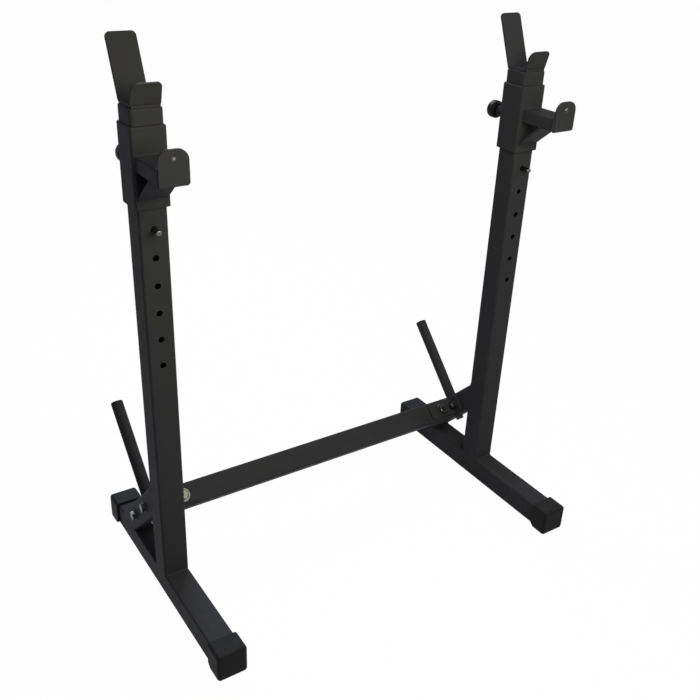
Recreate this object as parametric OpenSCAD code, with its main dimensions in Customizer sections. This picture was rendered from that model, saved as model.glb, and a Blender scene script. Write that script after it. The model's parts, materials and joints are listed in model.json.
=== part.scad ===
// Squat stand: two uprights on long feet, joined by one rear crossbeam.
// Each upright carries a bar cradle on its top and a hook collar that slides on it.
// Origin on the floor under the middle of the stand, X along the crossbeam,
// Y towards the heels, Z up. All sizes in millimetres.

/* [Stand] */
// Distance between the centres of the two uprights
upright_spacing = 800; // [650:5:1100]
// Length of each upright tube above its foot
upright_height = 910; // [760:5:1200]
// Reach of the foot in front of the upright's centre
toe_reach = 272; // [180:1:400]
// Reach of the foot behind the upright's centre
heel_reach = 279; // [272:1:400]

/* [Square tube] */
// Outside width of the upright, foot, brace and crossbeam tubes
tube_size = 50; // [46:1:54]
// Wall of those tubes
tube_wall = 2; // [1.5:0.1:3]
// Outside corner radius of those tubes
tube_corner = 4.5; // [3.5:0.1:6]

/* [Adjustment holes] */
// Diameter of the holes through the upright, front to rear
hole_d = 11; // [10.4:0.1:13]
// Distance from one hole to the next
hole_pitch = 50; // [45:1:54]
// Number of holes in each upright
hole_count = 9; // [6:1:10]
// Distance from the upright's top end to the first hole
top_hole_drop = 39; // [32:1:44]

/* [Boots] */
// Length of the rubber boot on each end of a foot
boot_length = 44; // [36:1:60]
// Thickness of the sole under the foot tube
boot_sole = 5; // [3:0.5:10]
// Thickness of the boot's sides, top and end
boot_wall = 4.8; // [3:0.1:8]
// Length and height of the slope cut off the boot's lower rim
boot_slope = 14; // [4:1:22]
// Corner radius of the boot
boot_corner = 7; // [2:0.5:8]
// Gap between a boot and its tube
boot_gap = 0.2; // [0.1:0.05:0.5]

/* [Rear brace] */
// Rise and run of the brace's centre line, from the foot's top and the upright's rear face
brace_leg = 151; // [135:1:170]
// Height of the crossbeam's centre above the floor
beam_height = 136.5; // [128:0.5:145]

/* [Beam bracket] */
// Thickness of the bracket's plates
bracket_plate = 5; // [3:0.5:8]
// Width of the bracket's base across the brace
bracket_width = 40; // [34:1:46]
// Width of the bracket's ears
ear_width = 36; // [32:1:40]
// Length of the ears along the crossbeam
ear_length = 65; // [56:1:90]
// Corner radius of the ears' ends
ear_corner = 8; // [3:1:14]
// Distance from the beam's centre line to each bolt of the base
base_bolt_offset = 44; // [42:1:47]
// Distance from the base bolts to the ends of the base plate
base_plate_margin = 14; // [11:1:18]
// Distance from the brace's inner face to the bolt through the beam
beam_bolt_inset = 36; // [32:1:44]
// Gap between an ear and the crossbeam
ear_gap = 0.25; // [0.1:0.05:0.5]
// Gap between a crossbeam's end and the bracket's base
beam_end_gap = 0.5; // [0.2:0.1:1]

/* [Fasteners] */
// Thread diameter of the bolts through the brace and into the pegs
brace_bolt_d = 10; // [8:1:12]
// Width across flats of their heads and nuts
brace_bolt_flats = 17; // [14:1:19]
// Height of their heads
brace_bolt_head = 6.4; // [5:0.1:8]
// Height of their nuts
brace_nut_height = 8; // [6:0.5:10]
// Diameter of their washers
brace_washer_d = 20; // [18:0.5:22]
// Thickness of their washers
brace_washer_t = 2; // [1:0.5:3]
// Thread diameter of the bolts through the crossbeam
beam_bolt_d = 12; // [10:1:14]
// Width across flats of their heads and nuts
beam_bolt_flats = 19; // [17:1:22]
// Height of their heads
beam_bolt_head = 7.5; // [6:0.5:9]
// Height of their nuts
beam_nut_height = 10; // [8:0.5:12]
// Diameter of their washers
beam_washer_d = 29; // [24:1:30]
// Thickness of their washers
beam_washer_t = 2.5; // [1.5:0.5:3]
// Radial gap of a bolt in a drilled hole
bolt_gap = 0.4; // [0.2:0.1:0.8]
// Radial gap of a bolt in its nut or thread
thread_gap = 0.1; // [0.05:0.01:0.2]
// Length of thread that stands out of a nut
thread_end = 3; // [1:0.5:6]

/* [Plate pegs] */
// Diameter of the peg that stores weight plates
peg_d = 25; // [22:0.5:28]
// Wall of the peg tube
peg_wall = 2.5; // [2:0.1:4]
// Length of the peg above the brace
peg_length = 205; // [120:5:300]
// Length of the threaded plug in the peg's lower end
peg_thread_length = 30; // [20:1:50]
// Depth of the cap's stem in the peg's upper end
peg_cap_stem = 15; // [8:1:25]
// Thickness of the cap's head
peg_cap_head = 3; // [2:0.5:6]

/* [Cradle] */
// Wall of the sleeve that seats on the upright's top
cap_wall = 2.25; // [1.5:0.25:4]
// Gap between that sleeve and the upright
cap_gap = 0.25; // [0.1:0.05:0.4]
// Length of the sleeve below the upright's top end
cap_skirt = 22; // [15:1:25]
// Thickness of the sleeve's closed top
cap_top = 4; // [3:0.5:6]
// Width of the bent saddle plate
saddle_width = 50; // [44:1:54]
// Thickness of the saddle plate
saddle_plate = 5; // [4:0.5:8]
// Inside bend radius of the saddle plate
saddle_bend = 5; // [3:0.5:8]
// Distance from the upright's centre to the foot of the front lip
saddle_front = 24; // [20:0.5:28]
// Distance from the upright's centre to the foot of the rear plate
saddle_rear = 27; // [20:0.5:32]
// Length of the front lip
lip_length = 39; // [28:1:60]
// Lean of the front lip from upright, towards the toes
lip_lean = 16; // [5:1:30]
// Radius of the front lip's upper corner that both stands have on their left
lip_wide_corner = 14; // [3:1:20]
// Radius of its other upper corner
lip_corner = 7; // [3:1:15]
// Length of the rear plate
guide_length = 104.5; // [70:0.5:140]
// Lean of the rear plate from upright, towards the heels
guide_lean = 22.7; // [10:0.1:35]
// Corner radius of the rear plate
guide_corner = 8; // [3:1:15]

/* [Hook collar] */
// Wall of the collar tube
collar_wall = 4.5; // [3.5:0.1:6]
// Gap between the collar and the upright
collar_gap = 0.5; // [0.3:0.1:0.8]
// Height of the collar
collar_height = 130.5; // [110:0.5:130.5]
// Height of the pull pin above the collar's lower edge
pin_in_collar = 64; // [50:0.5:64]
// Outside corner radius of the collar
collar_corner = 5; // [4:0.5:8]
// Number of the hole behind the pull pin, counted from the top
collar_hole = 2; // [2:1:3]

/* [Hook] */
// Width of the hook's arm, strut and end plate
hook_width = 50; // [40:1:58]
// Reach from the collar's front face to the front of the end plate
hook_reach = 91.7; // [70:0.1:120]
// Height of the arm tube
arm_height = 25; // [20:1:30]
// Wall of the arm tube
arm_wall = 2.5; // [2:0.1:4]
// Corner radius of the arm tube
arm_corner = 3; // [2.5:0.1:5]
// Inside corner radius of the arm tube
arm_inner_corner = 1; // [0.5:0.1:2]
// Height of the arm's underside above the collar's lower edge
arm_rise = 62; // [45:1:80]
// Height of the end plate
end_plate_height = 56; // [45:1:75]
// Thickness of the end plate
end_plate = 5; // [3:0.5:8]
// Radius of the end plate's upper corners
end_plate_top_corner = 18; // [8:1:20]
// Radius of the end plate's lower corners
end_plate_low_corner = 4; // [1:1:10]
// Thickness of the strut plate
strut_plate = 5; // [3:0.5:8]
// Height of the strut's foot above the collar's lower edge
strut_rise = 15; // [5:1:30]
// Distance from the collar's front face to the strut's front end
strut_reach = 57; // [40:1:60]
// Distance from the end plate's top to its screw
screw_drop = 16; // [12:1:22]
// Shank diameter of that screw
screw_d = 6; // [4:0.5:6]
// Diameter of its domed head
screw_head_d = 10; // [8:0.5:12]
// Height of its domed head
screw_head_height = 2.6; // [1.5:0.1:4]

/* [Pull pin] */
// Diameter of the pin's nose
pin_d = 10; // [8:0.5:10]
// Radial running gap of the nose and of the rod
pin_gap = 0.1; // [0.05:0.01:0.15]
// Gap between the nose and the upright's rear face
pin_rest_gap = 0.3; // [0.2:0.05:0.5]
// Depth to which the real nose drops into a hole, left free in front of the flange
pin_lock_depth = 8.5; // [6:0.5:10]
// Pull-out travel of the pin
pin_travel = 10; // [6:0.5:11]
// Outside diameter of the housing
housing_d = 22; // [20:0.5:26]
// Length of the housing
housing_length = 32; // [32:0.5:36]
// Wall of the housing, and of its rear end
housing_wall = 3.2; // [2.5:0.1:4]
// Thickness of the pin's flange
flange_t = 3; // [2:0.5:4]
// Diameter of the rod behind the flange
rod_d = 8; // [6:0.5:8]
// Outside diameter of the spring on the rod
spring_d = 13; // [11.5:0.5:14]
// Diameter of the spring's wire
spring_wire = 1; // [0.8:0.1:1.4]
// Diameter of the knob
knob_d = 36; // [30:1:44]
// Length of the knob's body
knob_length = 22; // [18:1:30]
// Length of the skirt that covers the housing's end
knob_skirt = 6; // [3:0.5:8]
// Radial gap between the knob's skirt and the housing
skirt_gap = 0.5; // [0.3:0.1:1]
// Edge radius of the knob
knob_edge = 7; // [3:0.5:8]

/* [Stop pin] */
// Diameter of the stop pin
stop_d = 9.6; // [8:0.1:10]
// Length of the pin in front of the upright
stop_reach = 22; // [15:1:40]
// Diameter of the pin's head
stop_head_d = 16; // [12:1:24]
// Thickness of the pin's head
stop_head = 6; // [4:0.5:10]
// Diameter of the clip hole across the pin's tip
stop_hole_d = 3; // [2:0.5:4]
// Distance from the pin's tip to that hole
stop_hole_inset = 5; // [4:0.5:8]
// Holes between the pull pin and the stop pin
stop_holes_below = 2; // [2:1:3]

/* [Hidden] */
$fn = 64;
LEFT = -1;
RIGHT = 1;
FAR = 2000;
BRACE_ANGLE = 45;

paint = [0.13, 0.13, 0.14];
rubber = [0.09, 0.09, 0.1];
plastic = [0.06, 0.06, 0.06];
black_zinc = [0.2, 0.2, 0.22];
pin_steel = [0.35, 0.35, 0.36];
steel = [0.6, 0.6, 0.62];

half_tube = tube_size / 2;
upright_y = (toe_reach - heel_reach) / 2;
foot_top = boot_sole + tube_size;
upright_top = foot_top + upright_height;
boot_reach = half_tube + boot_gap + boot_wall;
boot_high = foot_top + boot_gap + boot_wall;

brace_sum = half_tube + foot_top + brace_leg;
beam_y = brace_sum - beam_height;
base_inner_x = -half_tube - bracket_plate;
beam_half_length = upright_spacing / 2 + base_inner_x - beam_end_gap;
beam_bolt_x = -half_tube - beam_bolt_inset;
ear_inside = half_tube + ear_gap;
ear_outside = ear_inside + bracket_plate;
brace_hole_r = brace_bolt_d / 2 + bolt_gap;
beam_hole_r = beam_bolt_d / 2 + bolt_gap;

first_hole_z = upright_top - top_hole_drop;
pin_z = first_hole_z - (collar_hole - 1) * hole_pitch;
stop_z = pin_z - stop_holes_below * hole_pitch;

cradle_z = upright_top + cap_top;
collar_inside = tube_size + 2 * collar_gap;
collar_outside = collar_inside + 2 * collar_wall;
collar_face = collar_outside / 2;
collar_z = pin_z - pin_in_collar;
arm_z = collar_z + arm_rise;
end_plate_y = -collar_face - hook_reach;
arm_front_y = end_plate_y + end_plate;
strut_z = collar_z + strut_rise;

nose_y = half_tube + pin_rest_gap;
flange_y = collar_face + pin_lock_depth;
flange_d = housing_d - 2 * housing_wall - 4 * pin_gap;
housing_end_y = collar_face + housing_length;
spring_y = flange_y + flange_t;
spring_length = housing_end_y - housing_wall - spring_y;
knob_floor_y = housing_end_y + pin_lock_depth + pin_rest_gap;
knob_front_y = housing_end_y - knob_skirt + pin_lock_depth;
knob_end_y = knob_floor_y + knob_length - knob_edge;
rod_end_y = knob_end_y - knob_edge;

// Places a unit's piece. In the unit's own frame the upright's centre is the origin
// and the inner side, which faces the other unit, is -X.
module in_unit(side) {
    translate([side * upright_spacing / 2, upright_y, 0])
        mirror([side < 0 ? 1 : 0, 0, 0])
            children();
}

// Frame of the brace at the crossbeam's centre: Y runs down the brace, Z out of its top face.
module in_brace() {
    translate([0, beam_y, beam_height])
        rotate([-BRACE_ANGLE, 0, 0])
            children();
}

module in_both_units() {
    for (side = [LEFT, RIGHT])
        in_unit(side)
            children();
}

// Turns a shape drawn along Z so that it runs along +Y from the given place.
module towards_heel(y, z) {
    translate([0, y, z])
        rotate([-90, 0, 0])
            children();
}

module rounded_rect(width, height, radius) {
    square([width - 2 * radius, height], center = true);
    square([width, height - 2 * radius], center = true);
    for (x = [-1, 1], y = [-1, 1])
        translate([x * (width / 2 - radius), y * (height / 2 - radius)])
            circle(radius);
}

// Plate outline that stands on the X axis, with round corners at its top and bottom,
// or square ones at its bottom where low_radius is 0.
module plate_outline(width, height, top_radius, low_radius) {
    half = width / 2;
    translate([-half, low_radius])
        square([width, height - low_radius - top_radius]);
    translate([-half + top_radius, height - top_radius - 1])
        square([width - 2 * top_radius, top_radius + 1]);
    translate([-half + low_radius, 0])
        square([width - 2 * low_radius, low_radius + 1]);
    for (x = [-1, 1]) {
        translate([x * (half - top_radius), height - top_radius])
            circle(top_radius);
        if (low_radius > 0)
            translate([x * (half - low_radius), low_radius])
                circle(low_radius);
    }
}

module square_tube(size, wall, corner, length) {
    difference() {
        linear_extrude(length)
            rounded_rect(size, size, corner);
        translate([0, 0, -1])
            linear_extrude(length + 2)
                rounded_rect(size - 2 * wall, size - 2 * wall, corner - wall);
    }
}

module hex_prism(flats, height) {
    cylinder(d = flats / cos(30), h = height, $fn = 6);
}

// Bolt with its head's underside at the origin and its shank along +Z.
module hex_bolt(thread_d, flats, head, length) {
    translate([0, 0, -head])
        intersection() {
            hex_prism(flats, head);
            cylinder(r1 = flats / 2, r2 = flats / 2 + 2 * head, h = head);
        }
    cylinder(d = thread_d, h = length);
}

module washer(outside_d, hole_r, thickness) {
    difference() {
        cylinder(d = outside_d, h = thickness);
        translate([0, 0, -1])
            cylinder(r = hole_r, h = thickness + 2);
    }
}

module hex_nut(thread_d, flats, height) {
    difference() {
        intersection() {
            hex_prism(flats, height);
            cylinder(r1 = flats / 2 + 2 * height, r2 = flats / 2, h = height);
        }
        translate([0, 0, -1])
            cylinder(r = thread_d / 2 + thread_gap, h = height + 2);
    }
}

module foot_tube(side) {
    toe_y = -toe_reach + boot_wall;
    heel_y = heel_reach - boot_wall;
    color(paint)
        in_unit(side)
            towards_heel(toe_y, boot_sole + half_tube)
                square_tube(tube_size, tube_wall, tube_corner, heel_y - toe_y);
}

// Boot in its own frame: its closed end at Y = 0, its mouth towards +Y.
module boot() {
    cavity = tube_size + 2 * boot_gap;
    difference() {
        translate([0, 0, boot_high / 2])
            rotate([-90, 0, 0])
                linear_extrude(boot_length)
                    rounded_rect(2 * boot_reach, boot_high, boot_corner);
        translate([0, boot_wall, boot_sole + half_tube])
            rotate([-90, 0, 0])
                linear_extrude(boot_length)
                    rounded_rect(cavity, cavity, tube_corner);
        translate([0, boot_length - boot_slope, 0])
            rotate([0, -90, 0])
                linear_extrude(4 * boot_reach, center = true)
                    polygon([[-1, 0], [0, 0], [boot_slope, boot_slope], [boot_slope, boot_slope + 1],
                        [-1, boot_slope + 1]]);
    }
}

module toe_boot(side) {
    color(rubber)
        in_unit(side)
            translate([0, -toe_reach, 0])
                boot();
}

module heel_boot(side) {
    color(rubber)
        in_unit(side)
            translate([0, heel_reach, 0])
                mirror([0, 1, 0])
                    boot();
}

module upright_tube(side) {
    color(paint)
        in_unit(side)
            difference() {
                translate([0, 0, foot_top])
                    square_tube(tube_size, tube_wall, tube_corner, upright_height);
                for (i = [0 : hole_count - 1])
                    towards_heel(-tube_size, first_hole_z - i * hole_pitch)
                        cylinder(d = hole_d, h = 2 * tube_size);
            }
}

module rear_brace(side) {
    color(paint)
        in_unit(side)
            difference() {
                intersection() {
                    in_brace()
                        translate([0, -brace_leg * 2, 0])
                            rotate([-90, 0, 0])
                                square_tube(tube_size, tube_wall, tube_corner, brace_leg * 4);
                    translate([-tube_size, half_tube, foot_top])
                        cube([2 * tube_size, FAR, FAR]);
                }
                in_brace() {
                    for (y = [-1, 1])
                        translate([-tube_size, y * base_bolt_offset, 0])
                            rotate([0, 90, 0])
                                cylinder(r = brace_hole_r, h = 2 * tube_size);
                    translate([0, 0, -tube_size])
                        cylinder(r = brace_hole_r, h = 2 * tube_size);
                }
            }
}

module crossbeam() {
    color(paint)
        translate([0, upright_y + beam_y, beam_height])
            rotate([-BRACE_ANGLE, 0, 0])
                difference() {
                    translate([-beam_half_length, 0, 0])
                        rotate([0, 90, 0])
                            square_tube(tube_size, tube_wall, tube_corner, 2 * beam_half_length);
                    for (side = [LEFT, RIGHT])
                        translate([side * (upright_spacing / 2 + beam_bolt_x), -tube_size, 0])
                            rotate([-90, 0, 0])
                                cylinder(r = beam_hole_r, h = 2 * tube_size);
                }
}

// Base plate on the brace's inner face, with an ear on each side of the crossbeam.
module beam_bracket(side) {
    base_length = 2 * (base_bolt_offset + base_plate_margin);
    color(paint)
        in_unit(side)
            in_brace()
                difference() {
                    union() {
                        translate([base_inner_x, 0, 0])
                            rotate([0, 90, 0])
                                linear_extrude(bracket_plate)
                                    rounded_rect(bracket_width, base_length, ear_corner);
                        for (y = [-1, 1])
                            translate([base_inner_x, y * (ear_inside + bracket_plate / 2), 0])
                                rotate([90, 0, 0])
                                    linear_extrude(bracket_plate, center = true)
                                        rotate([0, 0, 90])
                                            translate([0, -bracket_plate])
                                                plate_outline(ear_width, ear_length + bracket_plate,
                                                    ear_corner, 0);
                    }
                    for (y = [-1, 1])
                        translate([-tube_size, y * base_bolt_offset, 0])
                            rotate([0, 90, 0])
                                cylinder(r = brace_hole_r, h = tube_size);
                    translate([beam_bolt_x, -tube_size, 0])
                        rotate([-90, 0, 0])
                            cylinder(r = beam_hole_r, h = 2 * tube_size);
                }
}

// Runs its children once for each base bolt, along -X from the brace's outer face.
module at_base_bolts() {
    in_both_units()
        in_brace()
            for (y = [-1, 1])
                translate([half_tube, y * base_bolt_offset, 0])
                    rotate([0, -90, 0])
                        children();
}

module bracket_bolts() {
    grip = 2 * brace_washer_t + tube_size + bracket_plate;
    color(black_zinc)
        at_base_bolts()
            translate([0, 0, -brace_washer_t])
                hex_bolt(brace_bolt_d, brace_bolt_flats, brace_bolt_head,
                    grip + brace_nut_height + thread_end);
}

module bracket_washers() {
    color(black_zinc)
        at_base_bolts()
            for (z = [-brace_washer_t, tube_size + bracket_plate])
                translate([0, 0, z])
                    washer(brace_washer_d, brace_hole_r, brace_washer_t);
}

module bracket_nuts() {
    color(black_zinc)
        at_base_bolts()
            translate([0, 0, tube_size + bracket_plate + brace_washer_t])
                hex_nut(brace_bolt_d, brace_bolt_flats, brace_nut_height);
}

// Runs its children once for each beam bolt, along the brace from the upper ear's outside.
module at_beam_bolts() {
    in_both_units()
        in_brace()
            translate([beam_bolt_x, -ear_outside, 0])
                rotate([-90, 0, 0])
                    children();
}

module beam_bolts() {
    grip = 2 * beam_washer_t + 2 * ear_outside;
    color(black_zinc)
        at_beam_bolts()
            translate([0, 0, -beam_washer_t])
                hex_bolt(beam_bolt_d, beam_bolt_flats, beam_bolt_head,
                    grip + beam_nut_height + thread_end);
}

module beam_washers() {
    color(black_zinc)
        at_beam_bolts()
            for (z = [-beam_washer_t, 2 * ear_outside])
                translate([0, 0, z])
                    washer(beam_washer_d, beam_hole_r, beam_washer_t);
}

module beam_nuts() {
    color(black_zinc)
        at_beam_bolts()
            translate([0, 0, 2 * ear_outside + beam_washer_t])
                hex_nut(beam_bolt_d, beam_bolt_flats, beam_nut_height);
}

module plate_peg(side) {
    color(paint)
        in_unit(side)
            in_brace()
                translate([0, 0, half_tube])
                    difference() {
                        cylinder(d = peg_d, h = peg_length);
                        translate([0, 0, -1])
                            cylinder(d = peg_d - 2 * peg_wall, h = peg_length + 2);
                    }
}

module peg_thread_plug(side) {
    color(steel)
        in_unit(side)
            in_brace()
                translate([0, 0, half_tube])
                    difference() {
                        cylinder(r = peg_d / 2 - peg_wall - thread_gap, h = peg_thread_length);
                        translate([0, 0, -1])
                            cylinder(r = brace_bolt_d / 2 + thread_gap, h = peg_thread_length + 2);
                    }
}

module peg_cap(side) {
    color(plastic)
        in_unit(side)
            in_brace()
                translate([0, 0, half_tube + peg_length]) {
                    translate([0, 0, -peg_cap_stem])
                        cylinder(r = peg_d / 2 - peg_wall - thread_gap, h = peg_cap_stem + 1);
                    cylinder(d1 = peg_d, d2 = peg_d - peg_cap_head, h = peg_cap_head);
                }
}

// Runs its children along the peg, from the brace's lower face upwards.
module at_peg_bolts() {
    in_both_units()
        in_brace()
            translate([0, 0, -half_tube])
                children();
}

module peg_bolts() {
    reach = brace_washer_t + tube_size + peg_thread_length - thread_end;
    color(black_zinc)
        at_peg_bolts()
            translate([0, 0, -brace_washer_t])
                hex_bolt(brace_bolt_d, brace_bolt_flats, brace_bolt_head, reach);
}

module peg_washers() {
    color(black_zinc)
        at_peg_bolts()
            translate([0, 0, -brace_washer_t])
                washer(brace_washer_d, brace_hole_r, brace_washer_t);
}

module cradle_cap(side) {
    inside = tube_size + 2 * cap_gap;
    outside = inside + 2 * cap_wall;
    color(paint)
        in_unit(side)
            difference() {
                translate([0, 0, upright_top - cap_skirt])
                    linear_extrude(cap_skirt + cap_top)
                        rounded_rect(outside, outside, tube_corner + cap_wall);
                translate([0, 0, upright_top - cap_skirt - 1])
                    linear_extrude(cap_skirt + 1)
                        rounded_rect(inside, inside, tube_corner);
            }
}

// One bend of the saddle plate: a ring's sector between two angles in the YZ plane.
module saddle_bend(y, from_angle, to_angle) {
    outer = saddle_bend + saddle_plate;
    middle = (from_angle + to_angle) / 2;
    reach = 2 * outer;
    translate([0, y, cradle_z + outer])
        rotate([90, 0, 90])
            linear_extrude(saddle_width, center = true)
                intersection() {
                    difference() {
                        circle(outer);
                        circle(saddle_bend);
                    }
                    polygon([
                        [0, 0],
                        [reach * cos(from_angle), reach * sin(from_angle)],
                        [reach * cos(middle), reach * sin(middle)],
                        [reach * cos(to_angle), reach * sin(to_angle)]
                    ]);
                }
}

// Outline of the front lip, standing on the X axis, with its own radius at each upper corner.
module lip_outline(height, left_radius, right_radius) {
    half = saddle_width / 2;
    translate([-half, 0])
        square([half, height - left_radius]);
    square([half, height - right_radius]);
    translate([-half + left_radius, 0])
        square([saddle_width - left_radius - right_radius, height]);
    translate([-half + left_radius, height - left_radius])
        circle(left_radius);
    translate([half - right_radius, height - right_radius])
        circle(right_radius);
}

// A strap bent into a short front lip, a flat base and a tall rear plate.
module cradle_saddle(side) {
    outer = saddle_bend + saddle_plate;
    lip_turn = 90 - lip_lean;
    guide_turn = 90 - guide_lean;
    lip_tangent = outer * tan(lip_turn / 2);
    lip_height = lip_length - lip_tangent;
    wide_corner = min(lip_wide_corner, lip_height - 1);
    small_corner = min(lip_corner, lip_height - 1);
    guide_tangent = outer * tan(guide_turn / 2);
    lip_y = -saddle_front + lip_tangent;
    guide_y = saddle_rear - guide_tangent;
    lip_angle = 180 + lip_lean;
    guide_angle = 360 - guide_lean;
    color(paint)
        in_unit(side) {
            translate([-saddle_width / 2, lip_y, cradle_z])
                cube([saddle_width, guide_y - lip_y, saddle_plate]);
            saddle_bend(lip_y, lip_angle, 270);
            saddle_bend(guide_y, 270, guide_angle);
            translate([0, lip_y + saddle_bend * cos(lip_angle),
                    cradle_z + outer + saddle_bend * sin(lip_angle)])
                rotate([90 + lip_lean, 0, 0])
                    linear_extrude(saddle_plate)
                        if (side == RIGHT)
                            lip_outline(lip_height, wide_corner, small_corner);
                        else
                            lip_outline(lip_height, small_corner, wide_corner);
            translate([0, guide_y + outer * cos(guide_angle),
                    cradle_z + outer + outer * sin(guide_angle)])
                rotate([90 - guide_lean, 0, 0])
                    linear_extrude(saddle_plate)
                        plate_outline(saddle_width, guide_length - guide_tangent, guide_corner, 0);
        }
}

module hook_collar(side) {
    color(paint)
        in_unit(side)
            difference() {
                translate([0, 0, collar_z])
                    linear_extrude(collar_height)
                        rounded_rect(collar_outside, collar_outside, collar_corner);
                translate([0, 0, collar_z - 1])
                    linear_extrude(collar_height + 2)
                        rounded_rect(collar_inside, collar_inside, tube_corner);
                towards_heel(half_tube, pin_z)
                    cylinder(r = pin_d / 2 + pin_gap, h = tube_size);
            }
}

module hook_arm(side) {
    length = -collar_face - arm_front_y;
    color(paint)
        in_unit(side)
            towards_heel(arm_front_y, arm_z + arm_height / 2)
                difference() {
                    linear_extrude(length)
                        rounded_rect(hook_width, arm_height, arm_corner);
                    translate([0, 0, -1])
                        linear_extrude(length + 2)
                            rounded_rect(hook_width - 2 * arm_wall, arm_height - 2 * arm_wall,
                                arm_inner_corner);
                }
}

module hook_strut(side) {
    front_y = -collar_face - strut_reach;
    slope = atan2(arm_z - strut_z, strut_reach);
    color(paint)
        in_unit(side)
            rotate([90, 0, 90])
                linear_extrude(hook_width, center = true)
                    polygon([
                        [front_y, arm_z],
                        [front_y + strut_plate / sin(slope), arm_z],
                        [-collar_face, strut_z + strut_plate / cos(slope)],
                        [-collar_face, strut_z]
                    ]);
}

module hook_end_plate(side) {
    color(paint)
        in_unit(side)
            difference() {
                translate([0, arm_front_y, arm_z])
                    rotate([90, 0, 0])
                        linear_extrude(end_plate)
                            plate_outline(hook_width, end_plate_height, end_plate_top_corner,
                                end_plate_low_corner);
                towards_heel(end_plate_y - 1, arm_z + end_plate_height - screw_drop)
                    cylinder(r = screw_d / 2 + thread_gap, h = end_plate + 2);
            }
}

// Domed screw in the end plate, its head in front and its end flush behind.
module hook_screw(side) {
    dome_r = (screw_head_d * screw_head_d / 4 + screw_head_height * screw_head_height)
        / (2 * screw_head_height);
    color(black_zinc)
        in_unit(side)
            towards_heel(end_plate_y, arm_z + end_plate_height - screw_drop) {
                cylinder(d = screw_d, h = end_plate);
                intersection() {
                    translate([0, 0, dome_r - screw_head_height])
                        sphere(dome_r);
                    translate([0, 0, -2 * screw_head_height])
                        cylinder(d = screw_head_d, h = 2 * screw_head_height);
                }
            }
}

module pull_pin_housing(side) {
    color(paint)
        in_unit(side)
            towards_heel(collar_face, pin_z)
                difference() {
                    cylinder(d = housing_d, h = housing_length);
                    translate([0, 0, -1])
                        cylinder(d = housing_d - 2 * housing_wall,
                            h = housing_length - housing_wall + 1);
                    cylinder(r = rod_d / 2 + pin_gap, h = housing_length + 1);
                }
}

// Nose through the collar's rear wall, flange for the spring, and rod to the knob.
module pull_pin(side) {
    nose_bevel = 1.5;
    nose_length = flange_y - nose_y;
    color(steel)
        in_unit(side)
            towards_heel(nose_y, pin_z) {
                cylinder(d1 = pin_d - 2 * nose_bevel, d2 = pin_d, h = nose_bevel);
                translate([0, 0, nose_bevel])
                    cylinder(d = pin_d, h = nose_length - nose_bevel);
                translate([0, 0, nose_length])
                    cylinder(d = flange_d, h = flange_t);
                translate([0, 0, nose_length])
                    cylinder(d = rod_d, h = rod_end_y - flange_y);
            }
}

// Plain sleeve in the space that the hidden spring fills.
module pull_pin_spring(side) {
    color(steel)
        in_unit(side)
            towards_heel(spring_y, pin_z)
                difference() {
                    cylinder(d = spring_d, h = spring_length);
                    translate([0, 0, -1])
                        cylinder(d = spring_d - 2 * spring_wire, h = spring_length + 2);
                }
}

module pull_knob(side) {
    body_length = knob_floor_y - knob_front_y + knob_length - knob_edge;
    radius = knob_d / 2;
    color(plastic)
        in_unit(side)
            towards_heel(knob_front_y, pin_z)
                difference() {
                    rotate_extrude() {
                        translate([0, knob_edge])
                            square([radius, body_length - 2 * knob_edge]);
                        square([radius - knob_edge, body_length]);
                        for (z = [knob_edge, body_length - knob_edge])
                            translate([radius - knob_edge, z])
                                intersection() {
                                    circle(knob_edge);
                                    translate([0, -knob_edge])
                                        square([knob_edge, 2 * knob_edge]);
                                }
                    }
                    translate([0, 0, -1])
                        cylinder(r = housing_d / 2 + skirt_gap, h = knob_floor_y - knob_front_y + 1);
                    cylinder(r = rod_d / 2 + thread_gap, h = rod_end_y - knob_front_y);
                }
}

// Headed pin pushed through the upright from behind, with a clip hole across its tip.
module stop_pin(side) {
    length = tube_size + stop_reach;
    tip_bevel = 1.5;
    color(pin_steel)
        in_unit(side)
            towards_heel(-half_tube - stop_reach, stop_z)
                difference() {
                    union() {
                        cylinder(d1 = stop_d - 2 * tip_bevel, d2 = stop_d, h = tip_bevel);
                        translate([0, 0, tip_bevel])
                            cylinder(d = stop_d, h = length - tip_bevel);
                        translate([0, 0, length])
                            cylinder(d = stop_head_d, h = stop_head);
                    }
                    translate([-stop_d, 0, stop_hole_inset])
                        rotate([0, 90, 0])
                            cylinder(d = stop_hole_d, h = 2 * stop_d);
                }
}

foot_tube(LEFT);  // foot_tube_left
foot_tube(RIGHT);  // foot_tube_right
toe_boot(LEFT);  // toe_boot_left
toe_boot(RIGHT);  // toe_boot_right
heel_boot(LEFT);  // heel_boot_left
heel_boot(RIGHT);  // heel_boot_right
upright_tube(LEFT);  // upright_tube_left
upright_tube(RIGHT);  // upright_tube_right
rear_brace(LEFT);  // rear_brace_left
rear_brace(RIGHT);  // rear_brace_right
crossbeam();
beam_bracket(LEFT);  // beam_bracket_left
beam_bracket(RIGHT);  // beam_bracket_right
bracket_bolts();
bracket_washers();
bracket_nuts();
beam_bolts();
beam_washers();
beam_nuts();
plate_peg(LEFT);  // plate_peg_left
plate_peg(RIGHT);  // plate_peg_right
peg_thread_plug(LEFT);  // peg_thread_plug_left
peg_thread_plug(RIGHT);  // peg_thread_plug_right
peg_cap(LEFT);  // peg_cap_left
peg_cap(RIGHT);  // peg_cap_right
peg_bolts();
peg_washers();
cradle_cap(LEFT);  // cradle_cap_left
cradle_cap(RIGHT);  // cradle_cap_right
cradle_saddle(LEFT);  // cradle_saddle_left
cradle_saddle(RIGHT);  // cradle_saddle_right
hook_collar(LEFT);  // hook_collar_left
hook_collar(RIGHT);  // hook_collar_right
hook_arm(LEFT);  // hook_arm_left
hook_arm(RIGHT);  // hook_arm_right
hook_strut(LEFT);  // hook_strut_left
hook_strut(RIGHT);  // hook_strut_right
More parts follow.
